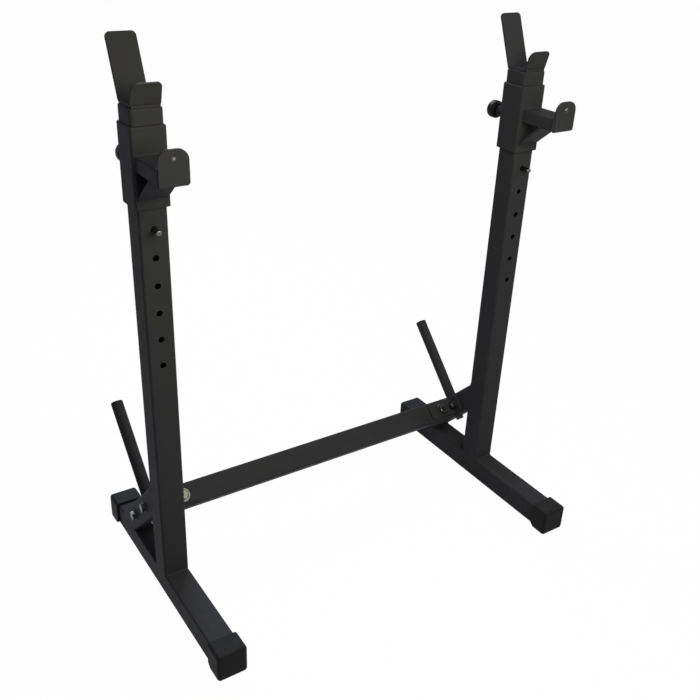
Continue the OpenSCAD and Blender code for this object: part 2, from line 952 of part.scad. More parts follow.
hook_end_plate(LEFT);  // hook_end_plate_left
hook_end_plate(RIGHT);  // hook_end_plate_right
hook_screw(LEFT);  // hook_screw_left
hook_screw(RIGHT);  // hook_screw_right
pull_pin_housing(LEFT);  // pull_pin_housing_left
pull_pin_housing(RIGHT);  // pull_pin_housing_right
pull_pin(LEFT);  // pull_pin_left
pull_pin(RIGHT);  // pull_pin_right
pull_pin_spring(LEFT);  // pull_pin_spring_left
pull_pin_spring(RIGHT);  // pull_pin_spring_right
pull_knob(LEFT);  // pull_knob_left
pull_knob(RIGHT);  // pull_knob_right
stop_pin(LEFT);  // stop_pin_left
stop_pin(RIGHT);  // stop_pin_right
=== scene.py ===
"""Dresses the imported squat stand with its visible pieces, finishes, stage and camera."""

import json
import math

import bmesh
import bpy
from mathutils import Matrix, Vector


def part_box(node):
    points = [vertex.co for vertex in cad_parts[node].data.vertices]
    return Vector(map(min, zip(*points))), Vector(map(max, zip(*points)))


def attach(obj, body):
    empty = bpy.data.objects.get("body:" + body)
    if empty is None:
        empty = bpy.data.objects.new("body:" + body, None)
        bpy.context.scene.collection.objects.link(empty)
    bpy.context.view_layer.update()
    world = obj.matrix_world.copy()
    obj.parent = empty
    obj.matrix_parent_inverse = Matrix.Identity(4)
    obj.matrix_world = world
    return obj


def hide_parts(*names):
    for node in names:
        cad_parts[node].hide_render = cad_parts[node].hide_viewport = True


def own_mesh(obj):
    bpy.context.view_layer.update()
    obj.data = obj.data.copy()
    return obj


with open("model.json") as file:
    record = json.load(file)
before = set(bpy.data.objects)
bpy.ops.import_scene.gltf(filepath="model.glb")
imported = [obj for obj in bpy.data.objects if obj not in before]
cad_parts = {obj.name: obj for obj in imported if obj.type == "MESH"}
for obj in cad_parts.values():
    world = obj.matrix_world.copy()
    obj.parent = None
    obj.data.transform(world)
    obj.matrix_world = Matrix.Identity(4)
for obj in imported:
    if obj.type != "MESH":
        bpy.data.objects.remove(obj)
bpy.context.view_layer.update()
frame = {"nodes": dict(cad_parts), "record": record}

bl_info = {
    "name": "Squat stand",
    "version": (1, 0, 0),
    "blender": (4, 5, 0),
    "location": "View3D > Sidebar > Squat stand",
    "description": "Builds the visible pieces of a squat stand around its frame",
    "category": "Object",
}

SIDES = {"left": -1.0, "right": 1.0}
FRAME_BODY = "stand_frame"
WHITE = (1.0, 1.0, 1.0, 1.0)
SQUARE_ROOT_2 = math.sqrt(2)

# Steps of round shapes, and the angles from which an edge is bevelled or stays sharp
CORNER_STEPS = 7
ROUND_STEPS = 48
HOLE_STEPS = 40
HEX_STEPS = 72
THREAD_STEPS = 36
THREAD_ROWS_PER_TURN = 6
SADDLE_END_STEPS = 14
SADDLE_BEND_STEPS = 12
BEVEL_ANGLE = math.radians(42)
SHARP_ANGLE = math.radians(38)

# How far beads reach around a tube's corners, and how far groove welds stop short of them
WELD_WRAP = 0.0018
WELD_END = 0.0016

# The two sizes of bolts. A washer's size is its radius, as the rod's and the hole's are
SMALL_BOLT = {"flats": 0.017, "head": 0.0064, "rod": 0.005, "pitch": 0.0015, "hole": 0.0054,
              "washer": 0.01, "washer_thickness": 0.002, "nut": 0.008}
LARGE_BOLT = {"flats": 0.019, "head": 0.0075, "rod": 0.006, "pitch": 0.00175, "hole": 0.0064,
              "washer": 0.0145, "washer_thickness": 0.0025, "nut": 0.01}

# Hexagons and threads. The round face is a share of the width across flats, and the depth of a
# thread one of its pitch
SIXTH_TURN = math.radians(60)
CHAMFER_SLOPE = math.tan(math.radians(30))
FACE_SHARE = 0.97
THREAD_DEPTH = 0.55

# Brackets: Y runs down the brace from the crossbeam's centre, X outwards from the brace's middle
BASE_BOLT_Y = 0.044
BEAM_BOLT_X = -0.061
BRACKET_PLATE = 0.005
EAR_INSIDE = 0.02525
EAR_OUTSIDE = EAR_INSIDE + BRACKET_PLATE

# Saddle: where its outer faces would meet without bends, and the length and lean of its two ends
SADDLE_FRONT, SADDLE_REAR = -0.024, 0.027
LIP_LENGTH, LIP_LEAN = 0.039, 16.0
GUIDE_LENGTH, GUIDE_LEAN = 0.1045, 22.7

HOOK_ARM_CORNER = 0.003

# Each lamp's place and width
LAMPS = {
    "key": ((-0.08, -0.92, 1.25), 0.8),
    "fill": ((2.2, -1.3, 2.3), 1.2),
    "back": ((0.4, 1.75, 2.2), 1.2),
}
LAMP_TARGET = Vector((0, 0, 0.5))


# Sizes and finishes that a user would change


def metres(name, description, default):
    return bpy.props.FloatProperty(name=name, description=description, default=default, min=0.0,
                                   unit="LENGTH", subtype="DISTANCE", precision=5)


def rgb(name, description, default):
    return bpy.props.FloatVectorProperty(name=name, description=description, default=default,
                                         min=0.0, max=1.0, size=3, subtype="COLOR")


def fraction(name, description, default):
    return bpy.props.FloatProperty(name=name, description=description, default=default, min=0.0,
                                   max=1.0, subtype="FACTOR")


def number(name, description, default, unit="NONE"):
    return bpy.props.FloatProperty(name=name, description=description, default=default, min=0.0,
                                   unit=unit)


class STAND_sizes(bpy.types.PropertyGroup):
    tube_corner: metres("Tube corner", "Outside corner radius of the square tubes", 0.0045)
    tube_wall: metres("Tube wall", "Wall of the square tubes", 0.002)
    hole_radius: metres("Hole radius", "Radius of the adjustment holes", 0.0055)
    hole_pitch: metres("Hole pitch", "Distance from one adjustment hole to the next", 0.05)
    top_hole_drop: metres("Top hole drop", "From the upright's top to its first hole", 0.039)
    tube_edge: metres("Tube edge", "Softening of cut tube ends and hole rims", 0.0004)
    plate_edge: metres("Plate edge", "Softening of plate edges under the paint", 0.0007)
    bead_radius: metres("Weld bead", "Radius of the weld beads", 0.0028)
    bead_ripple: metres("Weld ripple", "Length of one ripple of a weld bead", 0.0034)
    boot_wall: metres("Boot wall", "Wall of the rubber boots", 0.0048)
    boot_corner: metres("Boot corner", "Corner radius of the rubber boots", 0.007)
    boot_slope: metres("Boot slope", "Length of the slope under the boot's mouth", 0.014)
    saddle_plate: metres("Saddle plate", "Thickness of the cradle's bent plate", 0.005)
    saddle_bend: metres("Saddle bend", "Inside bend radius of the cradle's plate", 0.005)
    lip_wide_corner: metres("Lip wide corner", "Radius of the front lip's corner towards -X", 0.014)
    lip_corner: metres("Lip corner", "Radius of the front lip's corner towards +X", 0.007)
    guide_corner: metres("Guide corner", "Corner radius of the cradle's rear plate", 0.008)
    sleeve_round: metres("Sleeve round", "Rounding of the top edges of cap and collar", 0.003)
    hook_top_corner: metres("Hook top corner", "Radius of the end plate's upper corners", 0.018)
    hook_low_corner: metres("Hook low corner", "Radius of the end plate's lower corners", 0.004)
    ear_corner: metres("Ear corner", "Corner radius of the bracket's ears", 0.008)
    knob_edge: metres("Knob edge", "Edge radius of the pull knob", 0.007)


class STAND_finishes(bpy.types.PropertyGroup):
    paint_colour: rgb("Paint", "Black powder coat", (0.0195, 0.0195, 0.0245))
    worn_colour: rgb("Worn edge", "Paint rubbed thin along the edges", (0.045, 0.045, 0.046))
    dust_colour: rgb("Dust", "Dust that lies on the upper faces", (0.06, 0.059, 0.056))
    rubber_colour: rgb("Rubber", "Black rubber of the boots", (0.0075, 0.0075, 0.0095))
    plastic_colour: rgb("Plastic", "Black plastic of caps and knobs", (0.005, 0.005, 0.0052))
    zinc_colour: rgb("Zinc", "Black zinc of the fasteners", (0.07, 0.071, 0.077))
    zinc_tint: rgb("Zinc tint", "Duller patches of the zinc", (0.04, 0.041, 0.045))
    pin_colour: rgb("Stop pin", "Smooth dark steel of the stop pins", (0.14, 0.14, 0.143))
    pin_tint: rgb("Stop pin tint", "Handled patches of the stop pins", (0.09, 0.09, 0.092))
    steel_colour: rgb("Steel", "Turned steel of the pull pins", (0.42, 0.42, 0.42))
    steel_tint: rgb("Steel tint", "Darker patches of the steel", (0.3, 0.3, 0.31))
    paint_gloss: fraction("Paint gloss", "Strength of the paint's reflection", 0.03)
    paint_roughness: fraction("Paint roughness", "Roughness of the paint", 0.6)
    edge_wear: fraction("Edge wear", "How far the paint is rubbed along edges", 0.35)
    dust: fraction("Dust amount", "How much dust lies on the upper faces", 0.1)


class STAND_stage(bpy.types.PropertyGroup):
    floor_colour: rgb("Floor", "Colour of the pale floor", (0.5, 0.5, 0.5))
    floor_whiteness: fraction("Floor whiteness", "Share of the floor that shows plain white", 0.985)
    world_colour: rgb("World", "Colour of the soft light from all sides", (0.86, 0.93, 1.0))
    world_strength: number("World strength", "Strength of the soft light from all sides", 0.18)
    key_colour: rgb("Key colour", "Warm light of the near lamp", (1.0, 0.98, 0.66))
    fill_colour: rgb("Fill colour", "Light of the lamp at the right", (1.0, 0.92, 0.92))
    back_colour: rgb("Back colour", "Cool light of the lamp behind the stand", (0.82, 0.88, 1.0))
    key_energy: number("Key lamp", "Power of the near lamp in front of the heads", 17.0, "POWER")
    fill_energy: number("Fill lamp", "Power of the lamp at the right", 26.0, "POWER")
    back_energy: number("Back lamp", "Power of the lamp behind the stand", 70.0, "POWER")
    focal_length: number("Focal length", "Lens of the camera in millimetres", 45.18, "CAMERA")


def sizes():
    return bpy.context.scene.stand_sizes


# Places taken from the frame


class Box:
    """Corners of a node's box, with its middle and the lengths of its sides."""

    def __init__(self, lowest, highest):
        self.low = lowest
        self.high = highest
        self.middle = (lowest + highest) / 2
        self.width, self.depth, self.height = (high - low for low, high in zip(lowest, highest))


UPRIGHT = Box(*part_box("upright_tube_right")).middle
UPRIGHT.z = 0
BEAM = Box(*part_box("crossbeam")).middle - Vector((0, UPRIGHT.y, 0))


def unit_box(name):
    """Box of the right unit's node, seen from the foot of its upright."""
    lowest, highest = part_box(name + "_right")
    return Box(lowest - UPRIGHT, highest - UPRIGHT)


def axes(x, y, at=(0, 0, 0)):
    """Matrix that lays X and Y along two square directions and moves the origin."""
    x = Vector(x).normalized()
    y = Vector(y).normalized()
    rows = Matrix((x, y, x.cross(y))).transposed().to_4x4()
    return Matrix.Translation(at) @ rows


def move(x=0, y=0, z=0):
    return Matrix.Translation((x, y, z))


def turn(degrees, axis):
    return Matrix.Rotation(math.radians(degrees), 4, axis)


TOWARDS_HEEL = turn(-90, "X")
ALONG_BEAM = turn(90, "Y")
INWARDS = turn(-90, "Y")
DOWN_BRACE = turn(-90, "X")
PLATE_FACING_TOES = axes((1, 0, 0), (0, 0, 1))


def unit_frame(side):
    """Foot of an upright. The inner side of a unit is towards -X."""
    way = SIDES[side]
    return move(way * UPRIGHT.x, UPRIGHT.y) @ Matrix.Diagonal((way, 1, 1, 1))


def lying_frame(side, height):
    """Place on an upright's axis at a height, with Z towards the heel."""
    return unit_frame(side) @ move(z=height) @ TOWARDS_HEEL


def brace_frame(side):
    """Centre of the crossbeam in a unit: Y runs down the brace, Z out of its top face."""
    return unit_frame(side) @ move(0, BEAM.y, BEAM.z) @ turn(-45, "X")


# Outlines


def quarter(centre_x, centre_y, radius, start, steps=5):
    """Points of a quarter arc, anticlockwise from the start angle in degrees."""
    points = []
    for step in range(steps + 1):
        angle = math.radians(start + 90 * step / steps)
        points.append((centre_x + radius * math.cos(angle), centre_y + radius * math.sin(angle)))
    return points


def four_corners(width, corners, steps=CORNER_STEPS):
    """Outline from the Y of each corner's centre and its radius, anticlockwise from +X +Y."""
    points = []
    for index, (way, (centre_y, radius)) in enumerate(zip((1, -1, -1, 1), corners)):
        points += quarter(way * (width / 2 - radius), centre_y, radius, 90 * index, steps)
    return points


def rounded_rect(width, height, radius):
    top = height / 2 - radius
    return four_corners(width, ((top, radius), (top, radius), (-top, radius), (-top, radius)))


def plate_outline(width, height, top_radius, low_radius, steps=CORNER_STEPS):
    """Outline that stands on the X axis, with its own corner radius at top and bottom."""
    top = (height - top_radius, top_radius)
    low = (low_radius, low_radius)
    return four_corners(width, (top, top, low, low), steps)


def at_height(outline, height):
    return [(x, y, height) for x, y in outline]


def across_x(outline, lowest, highest):
    """Two rings of a profile in Y and Z, at the ends of a piece that lies along X."""
    return [[(x, y, z) for y, z in outline] for x in (lowest, highest)]


def circle(radius, height, steps=ROUND_STEPS):
    turns = (math.tau * step / steps for step in range(steps))
    return [(radius * math.cos(angle), radius * math.sin(angle), height) for angle in turns]


def rounded_top(width, corner, start, end, radius):
    """Rings of a square sleeve's outside from start up to a rounded top edge at end."""
    least_corner = 0.0008
    rings = [at_height(rounded_rect(width, width, corner), start)]
    for reach, height in quarter(0, end - radius, radius, 0):
        inset = radius - reach
        outline = rounded_rect(width - 2 * inset, width - 2 * inset,
                               max(corner - inset, least_corner))
        rings.append(at_height(outline, height))
    return rings


# Meshes. Each function gives a new one


def loft(rings, loop=False):
    """Skin over rings of points. Its ends are closed, or joined to each other by loop."""
    mesh = bmesh.new()
    rows = [[mesh.verts.new(point) for point in ring] for ring in rings]
    pairs = list(zip(rows, rows[1:]))
    if loop:
        pairs.append((rows[-1], rows[0]))
    else:
        mesh.faces.new(rows[0][::-1])
        mesh.faces.new(rows[-1])
    for lower, upper in pairs:
        for here in range(len(lower)):
            after = (here + 1) % len(lower)
            mesh.faces.new((lower[here], lower[after], upper[after], upper[here]))
    return mesh


def moved(mesh, place):
    bmesh.ops.transform(mesh, matrix=place, verts=mesh.verts)
    return mesh


def joined(meshes):
    """One mesh of several, which it uses up."""
    whole = bmesh.new()
    for mesh in meshes:
        copies = {vert: whole.verts.new(vert.co) for vert in mesh.verts}
        for face in mesh.faces:
            whole.faces.new([copies[vert] for vert in face.verts])
        mesh.free()
    return whole


def prism(outline, start, end):
    return loft([at_height(outline, start), at_height(outline, end)])


def tube(width, height, corner, wall, start, end):
    least_corner = 0.0005
    outer = rounded_rect(width, height, corner)
    inner = rounded_rect(width - 2 * wall, height - 2 * wall, max(corner - wall, least_corner))
    return loft([at_height(outer, start), at_height(outer, end),
                 at_height(inner, end), at_height(inner, start)], loop=True)


def square_tube(width, start, end):
    size = sizes()
    return tube(width, width, size.tube_corner, size.tube_wall, start, end)


def revolve(profile, loop=False):
    """Turned shape about Z from a profile of (radius, height) points."""
    return loft([circle(radius, height) for radius, height in profile], loop)


def drill(place, radius, length):
    """Round cutter along the Z of a place, centred on it."""
    rings = [circle(radius, z, HOLE_STEPS) for z in (-length / 2, length / 2)]
    return moved(loft(rings), place)


def sweep(path, normal, thickness, closed=False, sides=8):
    """Round rod along a path. thickness gives its radius at a length along the path."""
    count = len(path)
    rings = []
    length = 0.0
    for here in range(count):
        before = path[here - 1] if closed or here else path[here]
        after = path[(here + 1) % count] if closed or here < count - 1 else path[here]
        along = (after - before).normalized()
        across = along.cross(normal).normalized()
        upwards = across.cross(along)
        radius = thickness(length)
        ring = []
        for side in range(sides):
            angle = math.tau * side / sides
            spoke = math.cos(angle) * across + math.sin(angle) * upwards
            ring.append(path[here] + radius * spoke)
        rings.append(ring)
        length += (path[(here + 1) % count] - path[here]).length
    return loft(rings, closed)


def evenly_spaced(points, spacing, closed=False):
    """Points at an even distance along a chain of straight lines."""
    least_length = 1e-9
    chain = list(points) + ([points[0]] if closed else [])
    lines = list(zip(chain, chain[1:]))
    lengths = [(b - a).length for a, b in lines]
    total = sum(lengths)
    count = max(2, round(total / spacing))
    result = []
    for step in range(count if closed else count + 1):
        rest = total * step / count
        for (a, b), length in zip(lines, lengths):
            if rest <= length or b is chain[-1]:
                result.append(a.lerp(b, min(1.0, rest / max(length, least_length))))
                break
            rest -= length
    return result


def bead(corners, normal, closed=False, radius=None):
    """Weld bead along a chain of points, with the ripples that the torch leaves."""
    size = sizes()
    radius = radius or size.bead_radius
    valley, rise, points_per_ripple = 0.86, 0.16, 3
    path = evenly_spaced([Vector(corner) for corner in corners],
                         size.bead_ripple / points_per_ripple, closed)

    def thickness(along):
        return radius * (valley + rise * abs(math.sin(math.pi * along / size.bead_ripple)))

    return sweep(path, Vector(normal), thickness, closed)


def bead_across(reach, y, z, normal=(0, 0, 1), radius=None):
    """Straight bead along X, as far to one side as to the other."""
    return bead([(-reach, y, z), (reach, y, z)], normal, radius=radius)


def groove_weld(place, reach, half_length):
    """Weld that fills the groove beside a tube's round corner, flush with both tubes' flat sides.

    The groove lies along Z. The tube with the round corner is below Y = 0, the other one above it.
    """
    corner = sizes().tube_corner
    proud, run_out, sunk, end_sunk = 0.0001, 0.002, 0.0004, 0.0016
    upper = [(half_length - 2 * run_out, 0), (half_length - run_out, sunk),
             (half_length, end_sunk)]
    lower = [(-height, shrink) for height, shrink in reversed(upper)]
    rings = []
    for height, shrink in lower + upper:
        side = reach + proud - shrink
        edge = side - 2 * proud
        ring = [(edge, run_out), (side, 0), (side, -corner), (edge, -corner - run_out)]
        ring += quarter(reach - corner - shrink, -corner, corner - sunk, 0, steps=4)
        rings.append(at_height(ring, height))
    return moved(loft(rings), place)


# Pieces


def object_from(mesh, name, place):
    moved(mesh, place)
    bmesh.ops.recalc_face_normals(mesh, faces=mesh.faces)
    data = bpy.data.meshes.new(name)
    mesh.to_mesh(data)
    mesh.free()
    thing = bpy.data.objects.new(name, data)
    bpy.context.scene.collection.objects.link(thing)
    return thing


def evaluated_mesh(thing):
    """Mesh of an object with its modifiers applied."""
    bpy.context.view_layer.update()
    graph = bpy.context.evaluated_depsgraph_get()
    return bpy.data.meshes.new_from_object(
        thing.evaluated_get(graph), preserve_all_data_layers=True, depsgraph=graph)


def finish_piece(mesh, name, node=None, place=Matrix(), body=FRAME_BODY, finish="black_paint",
                 holes=None, soften=0.0, segments=2):
    """Cuts the holes, softens the edges, shades, dresses and seats one piece."""
    thing = object_from(mesh, name, place)
    cutter = None
    if holes is not None:
        cutter = object_from(holes, name + "_holes", place)
        cut = thing.modifiers.new("cut", "BOOLEAN")
        cut.operation = "DIFFERENCE"
        cut.solver = "EXACT"
        cut.object = cutter
    if soften:
        bevel = thing.modifiers.new("soften", "BEVEL")
        bevel.width = soften
        bevel.segments = segments
        bevel.limit_method = "ANGLE"
        bevel.angle_limit = BEVEL_ANGLE
        bevel.use_clamp_overlap = False
    weighted = thing.modifiers.new("shade", "WEIGHTED_NORMAL")
    weighted.keep_sharp = True
    thing.data.shade_smooth()
    if not soften:
        thing.data.set_sharp_from_angle(angle=SHARP_ANGLE)
    finished = evaluated_mesh(thing)
    thing.modifiers.clear()
    thing.data = finished
    finished.name = name
    if cutter:
        bpy.data.objects.remove(cutter)
    finished.materials.clear()
    finished.materials.append(bpy.data.materials[finish])
    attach(thing, body)
    if node:
        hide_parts(node)
    return thing


def finish_side(mesh, side, name, node, place, **options):
    """Finishes a piece of one unit. The names of the piece and its node end with the side."""
    return finish_piece(mesh, f"{name}_{side}", node and f"{node}_{side}", place, **options)


def finish_welds(beads, side, name, place, body=FRAME_BODY):
    """Finishes weld beads as one painted piece, which replaces no node."""
    finish_side(joined(beads), side, name, None, place, body=body)


# Shader groups and finishes


def add_node(tree, kind, inputs=(), **settings):
    node = tree.nodes.new(kind)
    for name, value in settings.items():
        setattr(node, name, value)
    for name, value in dict(inputs).items():
        if isinstance(value, bpy.types.NodeSocket):
            tree.links.new(value, node.inputs[name])
        else:
            node.inputs[name].default_value = value
    return node


def maths(tree, operation, first, second=0.0, clamp=False):
    node = add_node(tree, "ShaderNodeMath", {0: first, 1: second}, operation=operation)
    node.use_clamp = clamp
    return node.outputs[0]


def noise(tree, vector, scale, detail=2.0, roughness=0.5):
    node = add_node(tree, "ShaderNodeTexNoise",
                    {"Vector": vector, "Scale": scale, "Detail": detail, "Roughness": roughness})
    return node.outputs["Fac"]


def steps_between(tree, value, low, high):
    """Smooth step of a value from 0 at low to 1 at high."""
    node = add_node(tree, "ShaderNodeMapRange",
                    {"Value": value, "From Min": low, "From Max": high},
                    interpolation_type="SMOOTHSTEP")
    return node.outputs["Result"]


def mask_of(tree, first, second, amount):
    """Product of two masks and an amount, kept between 0 and 1."""
    both = maths(tree, "MULTIPLY", first, second)
    return maths(tree, "MULTIPLY", both, amount, clamp=True)


def new_group(name, inputs, outputs):
    """Empty shader group with named inputs, their first values, and named outputs."""
    group = bpy.data.node_groups.new(name, "ShaderNodeTree")
    for socket, value in inputs.items():
        made = group.interface.new_socket(socket, in_out="INPUT", socket_type="NodeSocketFloat")
        made.default_value = value
    for socket in outputs:
        group.interface.new_socket(socket, in_out="OUTPUT", socket_type="NodeSocketFloat")
    given = group.nodes.new("NodeGroupInput").outputs
    return group, given, group.nodes.new("NodeGroupOutput").inputs


def piece_coordinates(tree):
    return tree.nodes.new("ShaderNodeTexCoord").outputs["Object"]


def build_orange_peel():
    """Fine waves that powder coat leaves as it flows, with a few larger swells."""
    group, given, result = new_group("orange_peel", {"Scale": 900.0, "Swell": 0.4}, ["Height"])
    where = piece_coordinates(group)
    fine = noise(group, where, given["Scale"])
    broad_scale = maths(group, "MULTIPLY", given["Scale"], 0.18)
    broad = noise(group, where, broad_scale, detail=1.0)
    height = maths(group, "ADD", fine, maths(group, "MULTIPLY", broad, given["Swell"]))
    group.links.new(height, result["Height"])


def build_edge_wear():
    """Mask of rubbed edges: where the rounded normal leaves the true one, broken up by noise."""
    group, given, result = new_group(
        "edge_wear", {"Radius": 0.0012, "Amount": 0.5, "Breakup": 260.0}, ["Mask"])
    rounded = add_node(group, "ShaderNodeBevel", {"Radius": given["Radius"]}, samples=6)
    true_normal = group.nodes.new("ShaderNodeNewGeometry").outputs["Normal"]
    likeness = add_node(group, "ShaderNodeVectorMath",
                        {0: rounded.outputs["Normal"], 1: true_normal}, operation="DOT_PRODUCT")
    difference = maths(group, "SUBTRACT", 1.0, likeness.outputs["Value"])
    edge = steps_between(group, difference, low=0.01, high=0.12)
    cloud = noise(group, piece_coordinates(group), given["Breakup"], detail=4.0)
    patches = steps_between(group, cloud, low=0.42, high=0.68)
    group.links.new(mask_of(group, edge, patches, given["Amount"]), result["Mask"])


def build_settled_dust():
    """Mask of fine dust on faces that look up, in soft patches."""
    group, given, result = new_group("settled_dust", {"Amount": 0.3, "Scale": 35.0}, ["Mask"])
    normal = group.nodes.new("ShaderNodeNewGeometry").outputs["Normal"]
    upward = add_node(group, "ShaderNodeSeparateXYZ", {"Vector": normal}).outputs["Z"]
    facing = steps_between(group, upward, low=0.35, high=1.0)
    where = piece_coordinates(group)
    cloud = noise(group, where, given["Scale"], detail=5.0, roughness=0.6)
    patches = steps_between(group, cloud, low=0.3, high=0.75)
    grains = noise(group, where, scale=1400.0, detail=1.0)
    specks = steps_between(group, grains, low=0.66, high=0.74)
    lying = maths(group, "ADD", patches, specks)
    group.links.new(mask_of(group, facing, lying, given["Amount"]), result["Mask"])


def build_handling_marks():
    """Soft smudges and fine scratches: a value around zero for the roughness, and a height."""
    group, given, result = new_group(
        "handling_marks", {"Smudge": 0.08, "Scratch": 0.05}, ["Value", "Height"])
    where = piece_coordinates(group)
    cloud = noise(group, where, scale=28.0, detail=4.0, roughness=0.6)
    smudge = maths(group, "SUBTRACT", cloud, 0.5)
    stretched = add_node(group, "ShaderNodeMapping",
                         {"Vector": where, "Scale": (900.0, 60.0, 45.0),
                          "Rotation": (0.4, 0.9, 0.3)})
    streaks = noise(group, stretched.outputs["Vector"], scale=1.0, detail=3.0)
    lines = steps_between(group, streaks, low=0.6, high=0.72)
    value = maths(group, "ADD", maths(group, "MULTIPLY", smudge, given["Smudge"]),
                  maths(group, "MULTIPLY", lines, given["Scratch"]))
    group.links.new(value, result["Value"])
    group.links.new(lines, result["Height"])


def build_moulded_grain():
    """Fine spark-eroded grain of a mould, for rubber and plastic."""
    group, given, result = new_group("moulded_grain", {"Scale": 1600.0}, ["Height"])
    where = piece_coordinates(group)
    cells = add_node(group, "ShaderNodeTexVoronoi", {"Vector": where, "Scale": given["Scale"]})
    fine = noise(group, where, given["Scale"])
    group.links.new(maths(group, "ADD", cells.outputs["Distance"], fine), result["Height"])


GROUP_BUILDERS = (build_orange_peel, build_edge_wear, build_settled_dust, build_handling_marks,
                  build_moulded_grain)


def use_group(tree, name, **inputs):
    node = tree.nodes.new("ShaderNodeGroup")
    node.node_tree = bpy.data.node_groups[name]
    for socket, value in inputs.items():
        node.inputs[socket].default_value = value
    return node.outputs


def blend_colour(tree, share, first, second):
    node = add_node(tree, "ShaderNodeMix", {"Factor": share}, data_type="RGBA")
    for socket, value in (("A", first), ("B", second)):
        target = next(s for s in node.inputs if s.name == socket and s.type == "RGBA")
        if isinstance(value, bpy.types.NodeSocket):
            tree.links.new(value, target)
        else:
            target.default_value = (*value, 1.0)
    return next(s for s in node.outputs if s.type == "RGBA")


def brighter(colour, times):
    return [channel * times for channel in colour]


def new_finish(name, metallic=0.0, specular=0.5):
    """Empties the finish that came with the frame, and gives it a plain shader."""
    material = bpy.data.materials.get(name) or bpy.data.materials.new(name)
    material.use_nodes = True
    tree = material.node_tree
    tree.nodes.clear()
    shader = add_node(tree, "ShaderNodeBsdfPrincipled",
                      {"Metallic": metallic, "Specular IOR Level": specular})
    add_node(tree, "ShaderNodeOutputMaterial", {"Surface": shader.outputs["BSDF"]})
    return tree, shader.inputs


def set_bump(tree, surface, height, distance):
    bump = add_node(tree, "ShaderNodeBump", {"Height": height, "Distance": distance})
    tree.links.new(bump.outputs["Normal"], surface["Normal"])


def set_roughness(tree, surface, base, *changes):
    value = base
    for change in changes:
        value = maths(tree, "ADD", change, value, clamp=True)
    tree.links.new(value, surface["Roughness"])


def black_paint(settings):
    """Powder coat with orange peel, rubbed edges and a little dust."""
    dust_share = 0.5
    tree, surface = new_finish("black_paint", specular=settings.paint_gloss)
    wear = use_group(tree, "edge_wear", Amount=settings.edge_wear)["Mask"]
    dust = use_group(tree, "settled_dust", Amount=settings.dust)["Mask"]
    marks = use_group(tree, "handling_marks", Smudge=0.1, Scratch=0.04)
    tone = noise(tree, piece_coordinates(tree), scale=9.0, detail=3.0)
    paint = blend_colour(tree, tone, settings.paint_colour,
                         brighter(settings.paint_colour, times=1.35))
    worn = blend_colour(tree, wear, paint, settings.worn_colour)
    tree.links.new(blend_colour(tree, dust, worn, settings.dust_colour), surface["Base Color"])
    set_roughness(tree, surface, settings.paint_roughness, marks["Value"],
                  maths(tree, "MULTIPLY", dust, dust_share))
    peel = use_group(tree, "orange_peel", Scale=850.0, Swell=0.8)["Height"]
    set_bump(tree, surface, peel, distance=0.00005)


def moulded_finish(settings, name, colour, roughness, grain, depth):
    """Rubber or plastic with the mould's grain, scuffed edges and dust."""
    tree, surface = new_finish(name, specular=0.06)
    dust = use_group(tree, "settled_dust", Amount=settings.dust)["Mask"]
    wear = use_group(tree, "edge_wear", Amount=0.25, Radius=0.0018)["Mask"]
    marks = use_group(tree, "handling_marks", Smudge=0.12, Scratch=0.06)
    scuffed = blend_colour(tree, wear, colour, brighter(colour, times=2.6))
    tree.links.new(blend_colour(tree, dust, scuffed, settings.dust_colour), surface["Base Color"])
    set_roughness(tree, surface, roughness, marks["Value"])
    grain_height = use_group(tree, "moulded_grain", Scale=grain)["Height"]
    set_bump(tree, surface, grain_height, depth)


def metal_finish(settings, name, colour, tint, roughness, smudge, scratch):
    """Bare or plated metal in two tones, with marks of handling and dust."""
    dust_share, patch_size = 0.6, 140.0
    tree, surface = new_finish(name, metallic=1.0)
    marks = use_group(tree, "handling_marks", Smudge=smudge, Scratch=scratch)
    patches = noise(tree, piece_coordinates(tree), patch_size, detail=4.0, roughness=0.6)
    dust = use_group(tree, "settled_dust", Amount=settings.dust * dust_share)["Mask"]
    metal = blend_colour(tree, patches, colour, tint)
    tree.links.new(blend_colour(tree, dust, metal, settings.dust_colour), surface["Base Color"])
    set_roughness(tree, surface, roughness, marks["Value"],
                  maths(tree, "MULTIPLY", dust, dust_share))
    set_bump(tree, surface, marks["Height"], distance=0.000012)


# Tubes of the stand


class STAND_OT_uprights(bpy.types.Operator):
    """Uprights with their rows of softened holes, welded to the feet"""
    bl_idname = "stand.uprights"
    bl_label = "Uprights"

    def execute(self, context):
        size = sizes()
        box = unit_box("upright_tube")
        half = box.width / 2
        foot_top = box.low.z
        hole_count = 9
        hole_heights = [box.high.z - size.top_hole_drop - step * size.hole_pitch
                        for step in range(hole_count)]
        reach = half - size.tube_corner + WELD_WRAP
        for side in SIDES:
            mesh = square_tube(box.width, foot_top, box.high.z)
            holes = joined(drill(move(z=height) @ TOWARDS_HEEL, size.hole_radius, 2 * box.width)
                           for height in hole_heights)
            finish_side(mesh, side, "upright", "upright_tube", unit_frame(side), holes=holes,
                        soften=size.tube_edge)
            welds = [bead_across(reach, y, foot_top) for y in (-half, half)]
            welds += [groove_weld(axes((way, 0, 0), (0, 0, 1), (0, 0, foot_top)), half,
                                  half - WELD_END) for way in (-1, 1)]
            finish_welds(welds, side, "upright_weld", unit_frame(side))
        return {"FINISHED"}


class STAND_OT_feet(bpy.types.Operator):
    """Foot tubes that run from boot to boot"""
    bl_idname = "stand.feet"
    bl_label = "Feet"

    def execute(self, context):
        box = unit_box("foot_tube")
        for side in SIDES:
            finish_side(square_tube(box.width, box.low.y, box.high.y), side, "foot", "foot_tube",
                        lying_frame(side, box.middle.z), soften=sizes().tube_edge)
        return {"FINISHED"}


